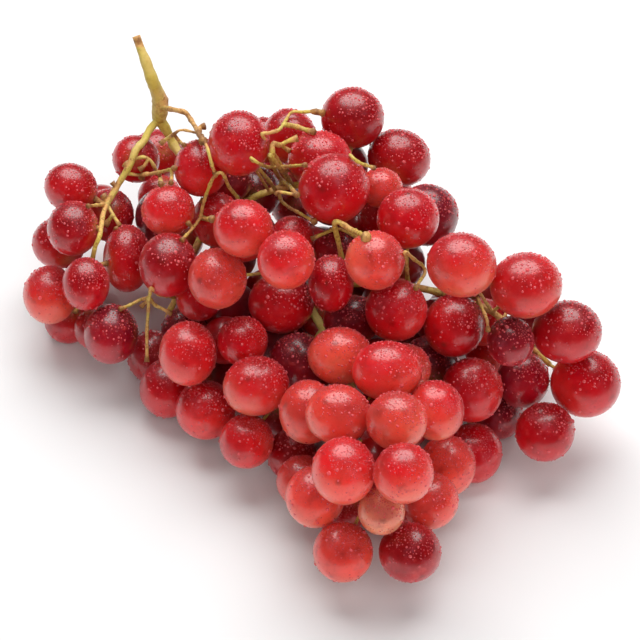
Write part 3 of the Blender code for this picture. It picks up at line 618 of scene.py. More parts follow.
def fill_hidden(view, berries, stems):
    """Berries under the seen ones, each wedged where it touches most."""
    rng = np.random.default_rng(HIDDEN_SEED)
    seen = [(*view.see(b.centre), 2.0 * b.half[0] / PIXEL_SIZE, 2.0 * b.half[1] / PIXEL_SIZE)
            for b in berries]
    maps = picture_maps(seen)
    low, high = HIDDEN_RADIUS
    spread = np.array(VIEW_AIM) + rng.uniform(HIDDEN_LOW, HIDDEN_HIGH, (HIDDEN_TRIES, 3))
    centres = [b.centre for b in berries]
    radii = [b.radius for b in berries]
    sprays = [b.spray for b in berries]
    apart = norm(spread[:, None] - np.array(centres)[None], axis=2) - np.array(radii)
    keep = (apart.min(axis=1) - SPRAY_GAP >= low) & (spread[:, 2] + REST_FLAT >= low)
    spread, apart = spread[keep], apart[keep]
    bones, thick = stem_samples(stems, SAMPLE_STEP)
    bone = (norm(spread[:, None] - bones[None], axis=2) - thick[None]).min(axis=1)
    clear = np.minimum(bone - STEM_GAP - STEM_SLACK, spread[:, 2] + REST_FLAT)
    shown = np.array([visible_share(view, maps, point, low) for point in spread])
    clear[np.isnan(shown)] = 0.0
    placed = []
    while len(placed) < HIDDEN_LIMIT:
        free = np.minimum(apart.min(axis=1) - SPRAY_GAP, clear)
        keep = free >= low
        if not keep.any():
            break
        spread, apart, bone, clear, free, shown = (
            values[keep] for values in (spread, apart, bone, clear, free, shown))
        landed = (spread[:, 2] < high) & (free >= spread[:, 2] + REST_FLAT - LANDING_SLACK)
        wedge = np.sort(apart, axis=1)[:, :WEDGE_COUNT].sum(axis=1)
        stray = np.maximum(bone - STEM_REACH, 0.0)
        score = wedge + STRAY_WEIGHT * stray - LANDING_BONUS * landed - SHOWN_BONUS * shown
        best = int(np.argmin(score))
        radius = float(min(high, free[best]))
        centre = spread[best]
        closest = int(np.argmin(spans(np.array(centres), centre) - radii))
        centres.append(centre)
        radii.append(radius)
        sprays.append(sprays[closest])
        half = radius * (1.0 + rng.uniform(-HIDDEN_UNEVEN, 0.0, 3))
        ripeness = int(rng.integers(*HIDDEN_RIPENESS))
        axes = (view.right, view.up, view.back)
        placed.append(Berry(sprays[-1], centre, axes, half, ripeness, True, True))
        extra = spans(spread, centre) - radius
        apart = np.hstack([apart, extra[:, None]])
    return placed


# Short stalks of the berries

def crossing(start, end, berries):
    """How far a straight line runs inside the berries."""
    points = start + (end - start) * np.linspace(0.0, 1.0, CROSSING_STEPS)[:, None]
    depths = (b.radius + PEDICEL_RADIUS - spans(points, b.centre) for b in berries)
    return sum(float(np.maximum(depth, 0.0).sum()) for depth in depths)


def run_clearance(run, berries):
    """Least distance from the skin of a stem run to the skin of any berry."""
    points, sizes = stem_samples([run], RUN_STEP)
    return min((spans(points, b.centre) - sizes).min() - b.half.max() * FACET_GROWTH
               for b in berries)


def place_pedicels(berries, skeleton):
    """The short stalk of each berry, and whether it passes clear of every other berry."""
    bones, _ = stem_samples(skeleton, ROOT_SPACING)
    stalks = []
    for berry in berries:
        away = spans(bones, berry.centre)
        others = [b for b in berries if b is not berry]

        def price(k):
            course = (bones[k] - berry.centre) / away[k]
            start = berry.centre + course * (berry.radius + STEM_GAP)
            return away[k] + CROSSING_PRICE * crossing(start, bones[k], others)

        root = bones[min(np.argsort(away)[:ROOT_CHOICES], key=price)]
        course = (root - berry.centre) / norm(root - berry.centre)
        share = sum((course @ berry.axes[k] / berry.half[k]) ** 2 for k in range(3))
        start = berry.centre + course * (FACET_GROWTH / sqrt(share) + STEM_GAP)
        berry.pole = course
        length = float(norm(root - start))
        count = max(2, round(length / STEM_STEP) + 1)
        line = np.array([start + (root - start) * k / (count - 1) for k in range(count)])
        sizes = np.full(count, PEDICEL_RADIUS)
        line = push_clear(line, sizes, others, {0, count - 1})
        clear = not berry.buried and run_clearance((line, sizes), others) > STEM_GAP
        stalks.append((line, sizes, clear))
    return stalks


# Looks of the berries

FINE_STEPS = 4  # how often a berry's round mesh is divided
SKIN_SEED = 300
SKIN_UNEVEN = 0.006  # greatest departure from the ellipsoid, as a share
SEAT_DENT = (0.05, 0.02)  # depth and reach of the dent at the stalk
TIP_RISE = (0.012, 0.03)  # height and reach of the rise at the far end
# Skin colour of each class of ripeness, palest first
TONES = (
    (0.92, 0.56, 0.42), (0.92, 0.29, 0.23), (0.87, 0.12, 0.14),
    (0.80, 0.012, 0.09), (0.69, 0.008, 0.07), (0.50, 0.05, 0.12),
)
TONE_SPREAD = (0.9, 1.1)
# Painted light on each berry: the lower side is painted paler and rosier as a glow of light
# through the flesh and off the floor, and the upper side is painted darker as shade
PAINTED_SHADE_SHARE = (0.50, 0.35, 0.50)  # painted shade: share of its colour left on the upper side
PAINTED_GLOW_CLASSES = 2  # classes by which the painted glow on the lower side is paler
PAINTED_GLOW_AMOUNT = 0.55
PAINTED_GLOW_SIDE = np.array((0.0, -0.15, -1.0))
PAINTED_GLOW_SPREAD = 0.35
CLOUD_SCALE = 1.6  # soft clouds of colour over one berry
CLOUD_AMOUNT = 0.35
SEAT_TONE = ((0.80, 0.62, 0.36), 0.4, 0.06)  # colour, amount and reach
SCAR_TONE = ((0.30, 0.12, 0.07), 0.75, 0.0035)

# Grape skin: noises as scale, detail and roughness; ranges as low, high, start and end
MOTTLE = (2.6, 5.0, 0.62)
DARK_MOTTLE = ((0.50, 0.72), 0.45, (0.45, 0.30, 0.38, 1.0))
PALE_MOTTLE = ((0.46, 0.30), 0.25, (0.78, 0.10, 0.09, 1.0))
FINE_MOTTLE = (14.0, 4.0, 0.7)
FINE_DARK = ((0.5, 0.75, 0.0, 0.35), (0.5, 0.32, 0.36, 1.0))
DOT_SCALE = 9.0
DOTS = ((0.16, 0.07, 0.0, 0.30), (0.82, 0.22, 0.17, 1.0))
BLOOM = (1.9, 4.0, 0.6)
BLOOM_VEIL = ((0.48, 0.74, 0.0, 0.14), (0.57, 0.18, 0.24, 1.0))
BLOOM_ROUGHNESS = 0.7
SKIN_ROUGHNESS = (0.3, 0.7, 0.28, 0.42)
PORES = (30.0, 3.0, 0.6)
DOT_HEIGHT = 0.6
SKIN_BUMP = (0.16, 0.0002)  # strength and distance
SKIN_SHADER = {
    "Subsurface Weight": 0.9, "Subsurface Radius": (1.0, 0.10, 0.07), "Subsurface Scale": 0.016,
    "IOR": 1.45, "Coat Weight": 0.75, "Coat Roughness": 0.2,
}
# Painted light: the clear drops get a bright pink-red colour, a painted glow that stands for the
# red skin seen through them and the light they focus onto it
DEW_SHADER = {
    "Base Color": (0.96, 0.18, 0.20, 1.0), "Transmission Weight": 0.5, "Roughness": 0.04,
    "IOR": 1.33,
}

# Stem bark, in the same order
BARK_BROAD = (90.0, 4.0, 0.6)
BARK_SPECK = (700.0, 4.0, 0.65)
BARK_GRAIN = (1100.0, 5.0, 0.65)
GREEN = ((0.35, 0.65), (0.64, 0.49, 0.09, 1.0), (0.74, 0.54, 0.17, 1.0))
BROWN = ((0.35, 0.65), (0.42, 0.20, 0.06, 1.0), (0.16, 0.065, 0.025, 1.0))
WORN_PATCHES = (0.42, 0.70, -0.2, 0.28)
TAN = ((0.10, 0.40), (0.72, 0.40, 0.13, 1.0))
BROWN_RANGE = (0.38, 0.85)
CORK = ((0.49, 0.62), (0.0, 0.28, 0.12, 0.7), (0.34, 0.14, 0.04, 1.0))
BARK_ROUGHNESS = (0.3, 0.7, 0.45, 0.7)
BARK_BUMP = (0.8, 0.0004)
BARK_SHADER = {
    "Subsurface Weight": 0.08, "Subsurface Radius": (1.0, 0.6, 0.2), "Subsurface Scale": 0.001,
}

# Drops of dew
DEW_SEED = 5
DEW_COUNT = 2600  # places tried on each berry
DEW_COUNT_SPREAD = (0.75, 1.2)
DEW_LEAN = np.array((0.30, 0.25, 0.85))  # where the drops are thickest
DEW_EDGE = 0.25
DEW_BARE = 0.05  # share of the places kept on the bare side
DEW_LEAST = 0.20 * MM  # radii of the drops
DEW_SPREAD = 0.10 * MM
DEW_SHAPE = 1.5
DEW_MOST = 0.85 * MM
DEW_APART = 1.05
DEW_FINE = 0.42 * MM  # larger drops get the finer dome
DEW_LOW = 1.5 * MM  # no drops below this height
DEW_STRETCH = (0.85, 1.15)
DEW_LIFT = (0.75, 1.15)
# Domes: sides, rings as radius and height, and height of the top, all in drop radii
FINE_DOME = (6, ((1.0, -0.25), (0.8, 0.34)), 0.58)
PLAIN_DOME = (5, ((1.0, -0.15),), 0.55)

# Fine stem
STEM_SEED = 77
FINE_STEP = 1.2 * MM  # distance between its rings
STALK_STEP = 1.5 * MM
LIMB_SWELL = 1.15  # widths, beside those of the plain stem
BRANCH_SLIM = 0.85
TWIG_SLIM = 0.64
GIRTH_UNEVEN = 0.06
KNOT_SPACING = 6.5  # these three in millimetres
KNOT_START = (2.0, 7.0)
KNOT_SHIFT = 2.0
KNOT_REACH = 1.0 * MM
LIMB_KNOTS = 0.15  # greatest swelling, as a share of the width
BRANCH_KNOTS = 0.2
TWIG_KNOTS = 0.42
TWIG_FLARE = (0.9, 1.6 * MM)  # amount and reach where a berry sat
STUB_FLARE = (0.9, 1.4 * MM)
SEAT_FLARE = (1.3, 1.7 * MM)
SEAT_DEPTH = 0.4 * MM  # how far a stalk reaches into its berry
PEDICEL_SLIM = 0.58 * MM
PEDICEL_LONGEST = 9.0 * MM  # a longer one is left out unless it is clear
STUB_TAPER = (1.15, 0.9)
STUB_DIVE = 5.0 * MM  # how much deeper than its root a stub may end
ROOT_STEP = 0.7 * MM
DEPTH_PRICE = 0.2  # how dear a root further from the viewer is
# Twigs and stubs that the plain stem leaves out: radius in millimetres, points across and down
MORE_TWIGS = """
0.7 113 214 109 220 105 226
0.6 117 220 119 225 116 229
0.6 118 189 115 186 112 182
0.9 129 166 127 165 125 163
0.8 107 202 105 198 103 195
0.8 196 129 200 128 205 126
0.4 191 129 184 130 178 131 174 134
0.7 158 171 160 177 161 184
0.6 170 168 172 175 171 183
0.6 148 161 144 166 139 170
0.7 147 173 143 175 141 179
0.6 168 138 164 141 160 144
0.6 176 139 180 142 184 145
0.8 201 217 206 219 212 219
0.6 193 228 190 225 188 223
0.8 287 124 297 127 306 130 314 132
0.8 272 158 273 144 280 145 288 141 298 138
0.6 281 145 285 148 290 151
0.8 284 167 285 170 287 173
0.5 281 189 278 192 275 195
0.6 205 200 203 201 200 200
0.6 151 300 145 303 141 307
0.8 312 112 318 112 323 113
"""
# Brown places on the stem: across, down, reach, amount
WORN_SPOTS = (
    (137, 41, 7, 1.0), (188, 117, 17, 0.75), (200, 135, 13, 1.0), (168, 98, 6, 0.35),
    (100, 228, 16, 0.45), (150, 172, 14, 0.45), (285, 170, 7, 0.6), (485, 315, 16, 0.5),
    (420, 272, 12, 0.4), (150, 300, 12, 0.35),
)
THIN_AGE = (2.2 * MM, 1.5 * MM, 0.28)  # start, reach and amount, away from the thick stem
END_AGE = (1.3, 2.4 * MM)  # amount and reach at the ends of twigs

# Studio
FLOOR_SHADES = ((0.79, 0.79, 0.79, 1.0), (0.81, 0.81, 0.81, 1.0))
FLOOR_SCALE = 3.0
FLOOR_ROUGHNESS = 0.85
LIGHT_AIM = (0.0, 0.0, 0.04)
# Name, place, size, power, and whether the skins mirror it
LIGHTS = (
    ("sky_panel", (0.0, 0.45, 0.95), (1.35, 1.05), 15.5, True),
    ("front_fill", (0.5, -1.7, 1.3), (3.8, 3.0), 46.0, False),
)
WORLD_STRENGTH = 0.06
SENSOR_WIDTH = 36.0


def to_linear(colour):
    """An sRGB colour as linear light."""
    return np.array([c / 12.92 if c < 0.04045 else ((c + 0.055) / 1.055) ** 2.4 for c in colour])


def icosphere(steps):
    mesh = bmesh.new()
    bmesh.ops.create_icosphere(mesh, subdivisions=steps, radius=1.0)
    points = np.array([v.co[:] for v in mesh.verts])
    faces = np.array([[v.index for v in f.verts] for f in mesh.faces])
    mesh.free()
    return points, faces


def show(name, data):
    obj = bpy.data.objects.new(name, data)
    bpy.context.scene.collection.objects.link(obj)
    return obj


def mesh_object(name, points, faces):
    data = bpy.data.meshes.new(name)
    data.from_pydata([tuple(p) for p in points], [], [tuple(f) for f in faces])
    data.validate()
    data.shade_smooth()
    return show(name, data)


def give(data, name, kind, field, values):
    """Gives each vertex of a mesh its own value."""
    layer = data.attributes.new(name, kind, "POINT")
    layer.data.foreach_set(field, np.ravel(values))


def on_skin(berry, unit):
    """Places on the skin of a slightly uneven berry, dented at its stalk, by direction."""
    bend = 1.0 + np.einsum("ij,jk,ik->i", unit, berry.wobble, unit)
    near = unit @ berry.axes @ berry.pole
    dent = 1.0 - SEAT_DENT[0] * np.exp(-((1.0 - near) / SEAT_DENT[1]))
    tip = 1.0 + TIP_RISE[0] * np.exp(-((1.0 + near) / TIP_RISE[1]))
    local = unit * berry.half * (bend * dent * tip)[:, None]
    return berry.centre + local @ berry.axes, near


def berry_tones(berry, unit, near, rng):
    """Skin colour over one berry: painted shade darker above, a painted glow paler and rosier
    below, and paler by the stalk.
    """
    base = to_linear(TONES[berry.ripeness]) * rng.uniform(*TONE_SPREAD)
    paler = to_linear(TONES[max(0, berry.ripeness - PAINTED_GLOW_CLASSES)])
    world = unit @ berry.axes
    lean = rng.normal(0.0, PAINTED_GLOW_SPREAD, 3) + PAINTED_GLOW_SIDE
    lean /= norm(lean)
    below = world @ lean
    seed = Vector(rng.uniform(-50.0, 50.0, 3))
    cloud = np.array([noise.fractal(Vector(p) * CLOUD_SCALE + seed, 1.0, 2.0, 3) for p in world])
    # painted glow towards the lower side and painted shade towards the top, each broken up by
    # random clouds of tone
    light = np.clip(0.38 + 0.5 * below + CLOUD_AMOUNT * cloud, 0.0, 1.0)[:, None]
    painted_shade_and_cloud = np.clip(-0.7 * below + CLOUD_AMOUNT * cloud, 0.0, 1.0)[:, None]
    tone = base * (1.0 - light * PAINTED_GLOW_AMOUNT) + paler * light * PAINTED_GLOW_AMOUNT
    tone = tone * (1.0 - painted_shade_and_cloud) + base * PAINTED_SHADE_SHARE * painted_shade_and_cloud
    for (colour, amount, reach), away in ((SEAT_TONE, 1.0 - near), (SCAR_TONE, 1.0 + near)):
        spot = np.exp(-(away / reach))[:, None]
        tone = tone * (1.0 - amount * spot) + to_linear(colour) * amount * spot
    return np.clip(tone, 0.0, 1.0)


def make_berries(letter, spray, berries, material):
    unit, faces = icosphere(FINE_STEPS)
    rng = np.random.default_rng(SKIN_SEED + ord(letter))
    points, tris, tones, spots, seeds = [], [], [], [], []
    for k, berry in enumerate(berries):
        uneven = rng.uniform(-SKIN_UNEVEN, SKIN_UNEVEN, (3, 3))
        berry.wobble = uneven + uneven.T
        surface, near = on_skin(berry, unit)
        tones.append(berry_tones(berry, unit, near, rng))
        spots.append(unit @ berry.axes)
        seeds.append(np.full(len(unit), rng.uniform(0.0, 100.0)))
        tris.append(faces + k * len(unit))
        surface[:, 2] = np.maximum(surface[:, 2], 0.0)
        points.append(surface)
    obj = mesh_object("grapes_" + spray, np.concatenate(points), np.concatenate(tris))
    rows = np.concatenate(tones)
    give(obj.data, "tone", "FLOAT_COLOR", "color", np.hstack([rows, np.ones((len(rows), 1))]))
    give(obj.data, "spot", "FLOAT_VECTOR", "vector", np.concatenate(spots))
    give(obj.data, "seed", "FLOAT", "value", np.concatenate(seeds))
    obj.data.materials.append(material)
    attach(obj, "root")
    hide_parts("berries_" + spray)


# Materials

def nodes_of(name):
    material = bpy.data.materials.new(name)
    material.use_nodes = True
    tree = material.node_tree
    return material, tree, tree.nodes["Principled BSDF"]


def fill(tree, node, inputs):
    """Links a node's inputs to other nodes, or gives them fixed values."""
    for key, value in inputs.items():
        if isinstance(value, bpy.types.NodeSocket):
            tree.links.new(value, node.inputs[key])
        else:
            node.inputs[key].default_value = value


def add(tree, kind, inputs, **settings):
    node = tree.nodes.new("ShaderNode" + kind)
    for key, value in settings.items():
        setattr(node, key, value)
    fill(tree, node, inputs)
    return node


def attribute(tree, name, output="Fac"):
    return add(tree, "Attribute", {}, attribute_name=name).outputs[output]


def object_place(tree):
    return add(tree, "TexCoord", {}).outputs["Object"]


def clouds(tree, vector, scale, detail=3.0, rough=0.55, seed=None):
    inputs = {"Scale": scale, "Detail": detail, "Roughness": rough, "Vector": vector}
    if seed:
        inputs["W"] = seed
    size = "4D" if seed else "3D"
    return add(tree, "TexNoise", inputs, noise_dimensions=size).outputs["Fac"]


def ramp(tree, value, low, high, start=0.0, end=1.0):
    inputs = {"Value": value, "From Min": low, "From Max": high, "To Min": start, "To Max": end}
    node = add(tree, "MapRange", inputs, interpolation_type="SMOOTHSTEP")
    return node.outputs["Result"]


def mix(tree, factor, first, second, mode="MIX"):
    inputs = {"Factor": factor, 6: first, 7: second}
    return add(tree, "Mix", inputs, data_type="RGBA", blend_type=mode).outputs[2]


def calc(tree, operation, first, second):
    return add(tree, "Math", {0: first, 1: second}, operation=operation).outputs[0]


def bump(tree, height, strength, distance):
    inputs = {"Height": height, "Strength": strength, "Distance": distance}
    return add(tree, "Bump", inputs).outputs["Normal"]


def skin_material():
    material, tree, shader = nodes_of("grape_skin")
    colour = attribute(tree, "tone", "Color")
    spot = attribute(tree, "spot", "Vector")
    seed = attribute(tree, "seed")
    mottle = clouds(tree, spot, *MOTTLE, seed)
    for (edges, amount, tint), mode in ((DARK_MOTTLE, "MULTIPLY"), (PALE_MOTTLE, "MIX")):
        part = calc(tree, "MULTIPLY", ramp(tree, mottle, *edges), amount)
        colour = mix(tree, part, colour, tint, mode)
    fine = clouds(tree, spot, *FINE_MOTTLE, seed)
    colour = mix(tree, ramp(tree, fine, *FINE_DARK[0]), colour, FINE_DARK[1], "MULTIPLY")
    inputs = {"Scale": DOT_SCALE, "Vector": spot, "W": seed}
    dots = add(tree, "TexVoronoi", inputs, voronoi_dimensions="4D", feature="F1")
    dot = ramp(tree, dots.outputs["Distance"], *DOTS[0])
    colour = mix(tree, dot, colour, DOTS[1])
    bloom = ramp(tree, clouds(tree, spot, *BLOOM, seed), *BLOOM_VEIL[0])
    colour = mix(tree, bloom, colour, BLOOM_VEIL[1])
    rough = calc(tree, "ADD", ramp(tree, fine, *SKIN_ROUGHNESS),
                 calc(tree, "MULTIPLY", bloom, BLOOM_ROUGHNESS))
    height = calc(tree, "ADD", clouds(tree, spot, *PORES, seed),
                  calc(tree, "MULTIPLY", dot, DOT_HEIGHT))
    relief = bump(tree, height, *SKIN_BUMP)
    fill(tree, shader, {"Base Color": colour, "Roughness": rough, "Normal": relief} | SKIN_SHADER)
    return material


def dew_material():
    material, tree, shader = nodes_of("dew_water")
    fill(tree, shader, DEW_SHADER)
    return material


def stem_material():
    """Green bark that turns tan, then brown and corky, with its age."""
    material, tree, shader = nodes_of("stem_bark")
    place = object_place(tree)
    age = attribute(tree, "age")
    broad = clouds(tree, place, *BARK_BROAD)
    speck = clouds(tree, place, *BARK_SPECK)
    green = mix(tree, ramp(tree, broad, *GREEN[0]), *GREEN[1:])
    brown = mix(tree, ramp(tree, speck, *BROWN[0]), *BROWN[1:])
    worn = calc(tree, "ADD", age, ramp(tree, broad, *WORN_PATCHES))
    colour = mix(tree, ramp(tree, worn, *TAN[0]), green, TAN[1])
    colour = mix(tree, ramp(tree, worn, *BROWN_RANGE), colour, brown)
    cork = calc(tree, "MULTIPLY", ramp(tree, speck, *CORK[0]), ramp(tree, age, *CORK[1]))
    colour = mix(tree, cork, colour, CORK[2])
    rough = ramp(tree, speck, *BARK_ROUGHNESS)
    relief = bump(tree, clouds(tree, place, *BARK_GRAIN), *BARK_BUMP)
    fill(tree, shader, {"Base Color": colour, "Roughness": rough, "Normal": relief} | BARK_SHADER)
    return material


# Dew

def dew_cap(sides, rings, top):
    """A low dome with its foot under the skin: points across, along, out."""
    points = [(radius * cos(angle), radius * sin(angle), lift)
              for radius, lift in rings for angle in circle(sides)]
    points.append((0.0, 0.0, top))
    faces = [tuple(range(sides))[::-1]]
    last = (len(rings) - 1) * sides
    for k in range(sides):
        j = (k + 1) % sides
        if last:
            faces.append((k, j, j + sides, k + sides))
        faces.append((k + last, j + last, last + sides))
    return np.array(points), faces


def dew_spots(berry, rng):
    """Directions and radii of the drops on one berry, thickest on top and to the right."""
    spots = rng.normal(0.0, 1.0, (int(DEW_COUNT * rng.uniform(*DEW_COUNT_SPREAD)), 3))
    spots /= norm(spots, axis=1)[:, None]
    chance = np.clip(2.0 * (spots @ DEW_LEAN - DEW_EDGE), DEW_BARE, 1.0)
    spots = spots[rng.uniform(size=len(spots)) < chance]
    sizes = DEW_LEAST + DEW_SPREAD * rng.gamma(DEW_SHAPE, size=len(spots))
    sizes = np.minimum(sizes, DEW_MOST)
    kept = []
    for i, spot in enumerate(spots):
        apart = spans(spots[kept], spot) * berry.radius
        if not (apart < DEW_APART * (sizes[kept] + sizes[i])).any():
            kept.append(i)
    return spots[kept], sizes[kept]


def make_dew(letter, spray, berries, material):
    rng = np.random.default_rng(DEW_SEED + ord(letter))
    fine, plain = dew_cap(*FINE_DOME), dew_cap(*PLAIN_DOME)
    points, faces = [], []
    start = 0
    for berry in berries:
        if berry.hidden:
            continue
        spots, sizes = dew_spots(berry, rng)
        feet, _ = on_skin(berry, spots @ berry.axes.T)
        normals = (spots @ berry.axes.T / berry.half) @ berry.axes
        normals /= norm(normals, axis=1)[:, None]
        for foot, normal, size in zip(feet, normals, sizes):
            stretch = rng.uniform(*DEW_STRETCH)
            lift = rng.uniform(*DEW_LIFT)
            if foot[2] < DEW_LOW:
                continue
            side = np.cross(normal, (0.31, 0.22, 0.92))
            side /= norm(side)
            other = np.cross(normal, side)
            cap, cap_faces = fine if size > DEW_FINE else plain
            shape = (np.outer(cap[:, 0] * stretch, side) + np.outer(cap[:, 1] / stretch, other)
                     + np.outer(cap[:, 2] * lift, normal))
            points.append(foot + size * shape)
            faces += [tuple(start + i for i in face) for face in cap_faces]
            start += len(cap)
    obj = mesh_object("dew_" + spray, np.concatenate(points), faces)
    obj.data.materials.append(material)
    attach(obj, "root")


# Fine stem

def tube(line, sizes, sides, rng, ridge):
    """A closed tube with long ridges and slightly uneven girth."""
    last = len(line) - 1
    phase = rng.uniform(0.0, 6.0, 2)
    girths = sizes * (1.0 + GIRTH_UNEVEN * rng.uniform(-1.0, 1.0, len(sizes)))
    points, faces = [], []
    side = None
    for k, point in enumerate(line):
        course = line[min(k + 1, last)] - line[max(k - 1, 0)]
        course = course / norm(course)
        if side is None:
            side = np.cross(course, (0.37, 0.61, 0.70))
        side = side - course * (side @ course)
        side /= norm(side)
        other = np.cross(course, side)
        for angle in circle(sides):
            waves = cos(3.0 * angle + phase[0]) + 0.6 * cos(5.0 * angle + phase[1])
            out = side * cos(angle) + other * sin(angle)
            points.append(point + girths[k] * (1.0 + ridge * waves) * out)
    for k in range(last):
        for i in range(sides):
            j = (i + 1) % sides
            a, b = k * sides + i, k * sides + j
            faces.append((a, b, b + sides, a + sides))
    faces.append(tuple(range(sides))[::-1])
    faces.append(tuple(last * sides + i for i in range(sides)))
    return points, faces


def run_length(line):
    return np.concatenate([[0.0], np.cumsum(norm(np.diff(line, axis=0), axis=1))])


def bell(away, reach):
    return np.exp(-((away / reach) ** 2))


def flare(line, sizes, amount, reach):
    """Widens the last stretch of a twig into the seat of a berry."""
    run = run_length(line)
    return sizes * (1.0 + amount * bell(run[-1] - run, reach))


def knots(line, sizes, rng, most):
    """Swellings here and there along a stem."""
    run = run_length(line)
    full = np.ones(len(sizes))
    for spot in np.arange(rng.uniform(*KNOT_START) * MM, run[-1], KNOT_SPACING * MM):
        spot += rng.uniform(-KNOT_SHIFT, KNOT_SHIFT) * MM
        full += rng.uniform(0.25 * most, most) * bell(run - spot, KNOT_REACH)
    return sizes * full


def more_twigs(view, berries, lines):
    """Further twigs and the short stubs where berries have come off."""
    seen = np.array([view.see(b.centre) for b in berries])
    twigs = []
    for radius, points in read_lines(MORE_TWIGS):
        bones, _ = stem_samples(lines + twigs, ROOT_STEP)
        pictured = np.array([view.see(bone) for bone in bones])
        depths = pictured[:, 2]
        apart = np.hypot(pictured[:, 0] - points[0][0], pictured[:, 1] - points[0][1])
        root = int(np.argmin(apart + DEPTH_PRICE * (depths - depths.min()) / PIXEL_SIZE))
        path = [bones[root]]
        for x, y in points[1:]:
            depth = min(twig_depth(berries, seen, x, y, radius), depths[root] + STUB_DIVE)
            path.append(view.at(x, y, depth))
        ends = [radius * part for part in STUB_TAPER]
        twigs.append(smooth_path(path, taper(len(path), ends), FINE_STEP))
    return twigs


def worn_amount(view, points, tips, thick):
    """How brown the bark is at each place: at the cut, the right lateral, twigs and their ends."""
    places = np.array([view.see(point)[:2] for point in points])
    bones, _ = stem_samples(thick, FINE_STEP)
    near = np.full(len(points), 1.0)
    for bone in bones:
        near = np.minimum(near, spans(points, bone))
    start, reach, amount = THIN_AGE
    age = np.clip((near - start) / reach, 0.0, 1.0) * amount
    for x, y, reach, amount in WORN_SPOTS:
        away = np.hypot(places[:, 0] - x, places[:, 1] - y)
        age = np.maximum(age, amount * bell(away, reach))
    amount, reach = END_AGE
    for tip in tips:
        age = np.maximum(age, amount * bell(spans(points, tip), reach))
    return age


def fuse(pieces):
    """One Boolean union of the pieces as one mesh."""
    store = bpy.data.collections.new("stem_pieces")
    bpy.context.scene.collection.children.link(store)
    first = pieces[0]
    for obj in pieces[1:]:
        store.objects.link(obj)
    union = first.modifiers.new("union", "BOOLEAN")
    union.operation = "UNION"
    union.operand_type = "COLLECTION"
    union.collection = store
    union.solver = "MANIFOLD"
    bpy.context.view_layer.update()
    graph = bpy.context.evaluated_depsgraph_get()
    result = bpy.data.meshes.new_from_object(first.evaluated_get(graph))
    first.modifiers.clear()
    first.data = result
    for obj in pieces[1:]:
        bpy.data.objects.remove(obj)
    bpy.data.collections.remove(store)
    return first


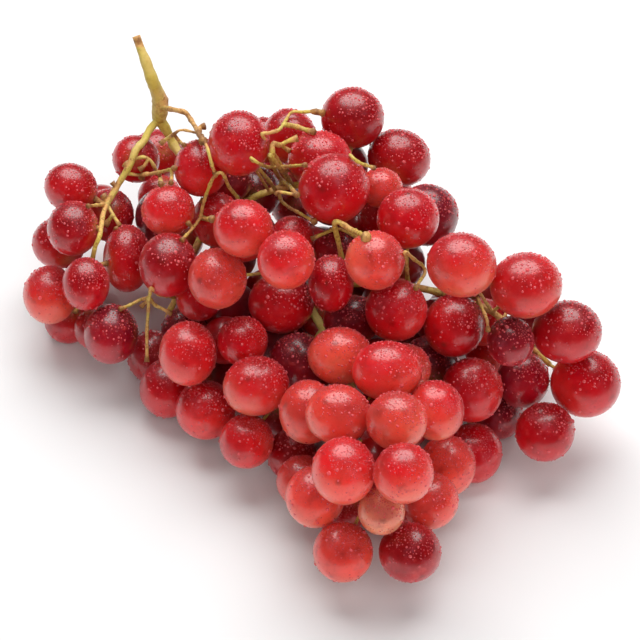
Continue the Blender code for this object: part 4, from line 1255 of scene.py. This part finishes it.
def make_stem(view, berries, lines, skeleton, stalks, material):
    rng = np.random.default_rng(STEM_SEED)
    pieces, tips = [], []

    def lay(line, sizes, sides, ridge):
        points, faces = tube(line, sizes, sides, rng, ridge)
        pieces.append(mesh_object(f"run{len(pieces)}", points, faces))

    first_twig = len(skeleton) - 2
    for k, (line, sizes) in enumerate(lines):
        line, sizes = smooth_path(list(line), list(sizes), FINE_STEP)
        if k == 0:
            lay(line, sizes, 16, 0.04)
        elif k == 2:
            lay(line, knots(line, sizes * LIMB_SWELL, rng, LIMB_KNOTS), 12, 0.04)
        elif k <= first_twig or k == len(lines) - 1:
            sizes = knots(line, sizes * BRANCH_SLIM, rng, BRANCH_KNOTS)
            lay(line, sizes, 14 if k == 1 else 9, 0.05)
        else:
            tips.append(line[-1])
            sizes = knots(line, sizes * TWIG_SLIM, rng, TWIG_KNOTS)
            lay(line, flare(line, sizes, *TWIG_FLARE), 9, 0.04)
    for line, sizes in more_twigs(view, [b for b in berries if not b.hidden], lines):
        tips.append(line[-1])
        lay(line, flare(line, knots(line, sizes, rng, TWIG_KNOTS), *STUB_FLARE), 8, 0.05)
    for berry, (line, sizes, clear) in zip(berries, stalks):
        if not clear and run_length(line)[-1] > PEDICEL_LONGEST:
            continue
        seat = on_skin(berry, (berry.axes @ berry.pole)[None])[0][0] - berry.pole * SEAT_DEPTH
        line = [seat] + list(line[1:])
        line, sizes = smooth_path(line, [PEDICEL_SLIM] * len(line), STALK_STEP)
        tips.append(line[0])
        lay(line, flare(line[::-1], sizes, *SEAT_FLARE)[::-1], 7, 0.03)
    stem = fuse(pieces)
    stem.name = stem.data.name = "stem_fine"
    points = np.empty(3 * len(stem.data.vertices))
    stem.data.vertices.foreach_get("co", points)
    ages = worn_amount(view, points.reshape(-1, 3), tips, lines[:3])
    give(stem.data, "age", "FLOAT", "value", ages)
    stem.data.shade_smooth()
    stem.data.materials.clear()
    stem.data.materials.append(material)
    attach(stem, "root")
    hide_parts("stem")


# Studio

def make_floor():
    corners = ((-6.0, -6.0, 0.0), (6.0, -6.0, 0.0), (6.0, 6.0, 0.0), (-6.0, 6.0, 0.0))
    floor = mesh_object("floor", corners, [(0, 1, 2, 3)])
    material, tree, shader = nodes_of("floor_white")
    shade = mix(tree, clouds(tree, object_place(tree), FLOOR_SCALE), *FLOOR_SHADES)
    fill(tree, shader, {"Base Color": shade, "Roughness": FLOOR_ROUGHNESS})
    floor.data.materials.append(material)


def make_studio():
    for name, place, size, power, mirrored in LIGHTS:
        data = bpy.data.lights.new(name, "AREA")
        data.shape = "ELLIPSE"
        data.size, data.size_y = size
        data.energy = power
        light = show(name, data)
        light.location = place
        light.visible_glossy = mirrored
        course = Vector(LIGHT_AIM) - Vector(place)
        light.rotation_euler = course.to_track_quat("-Z", "Y").to_euler()
    world = bpy.data.worlds.new("studio")
    bpy.context.scene.world = world
    world.use_nodes = True
    back = world.node_tree.nodes["Background"]
    back.inputs["Color"].default_value = (1.0, 1.0, 1.0, 1.0)
    back.inputs["Strength"].default_value = WORLD_STRENGTH
    bpy.context.scene.view_settings.view_transform = "Standard"


def make_camera(view):
    data = bpy.data.cameras.new("camera")
    data.sensor_width = SENSOR_WIDTH
    data.lens = view.steps * data.sensor_width / FRAME_SIDE
    camera = show("camera", data)
    turn = Matrix((view.right, view.up, view.back)).transposed().to_4x4()
    camera.matrix_world = Matrix.Translation(Vector(view.eye)) @ turn
    bpy.context.scene.camera = camera


view = Viewpoint()
make_camera(view)
make_studio()
make_floor()
berries = place_seen(view)
lines, skeleton = place_stems(view, berries)
berries += fill_hidden(view, berries, lines)
stalks = place_pedicels(berries, skeleton)
skin = skin_material()
water = dew_material()
for letter, spray in SPRAYS.items():
    members = [b for b in berries if b.spray == letter]
    make_berries(letter, spray, members, skin)
    make_dew(letter, spray, members, water)
make_stem(view, berries, lines, skeleton, stalks, stem_material())
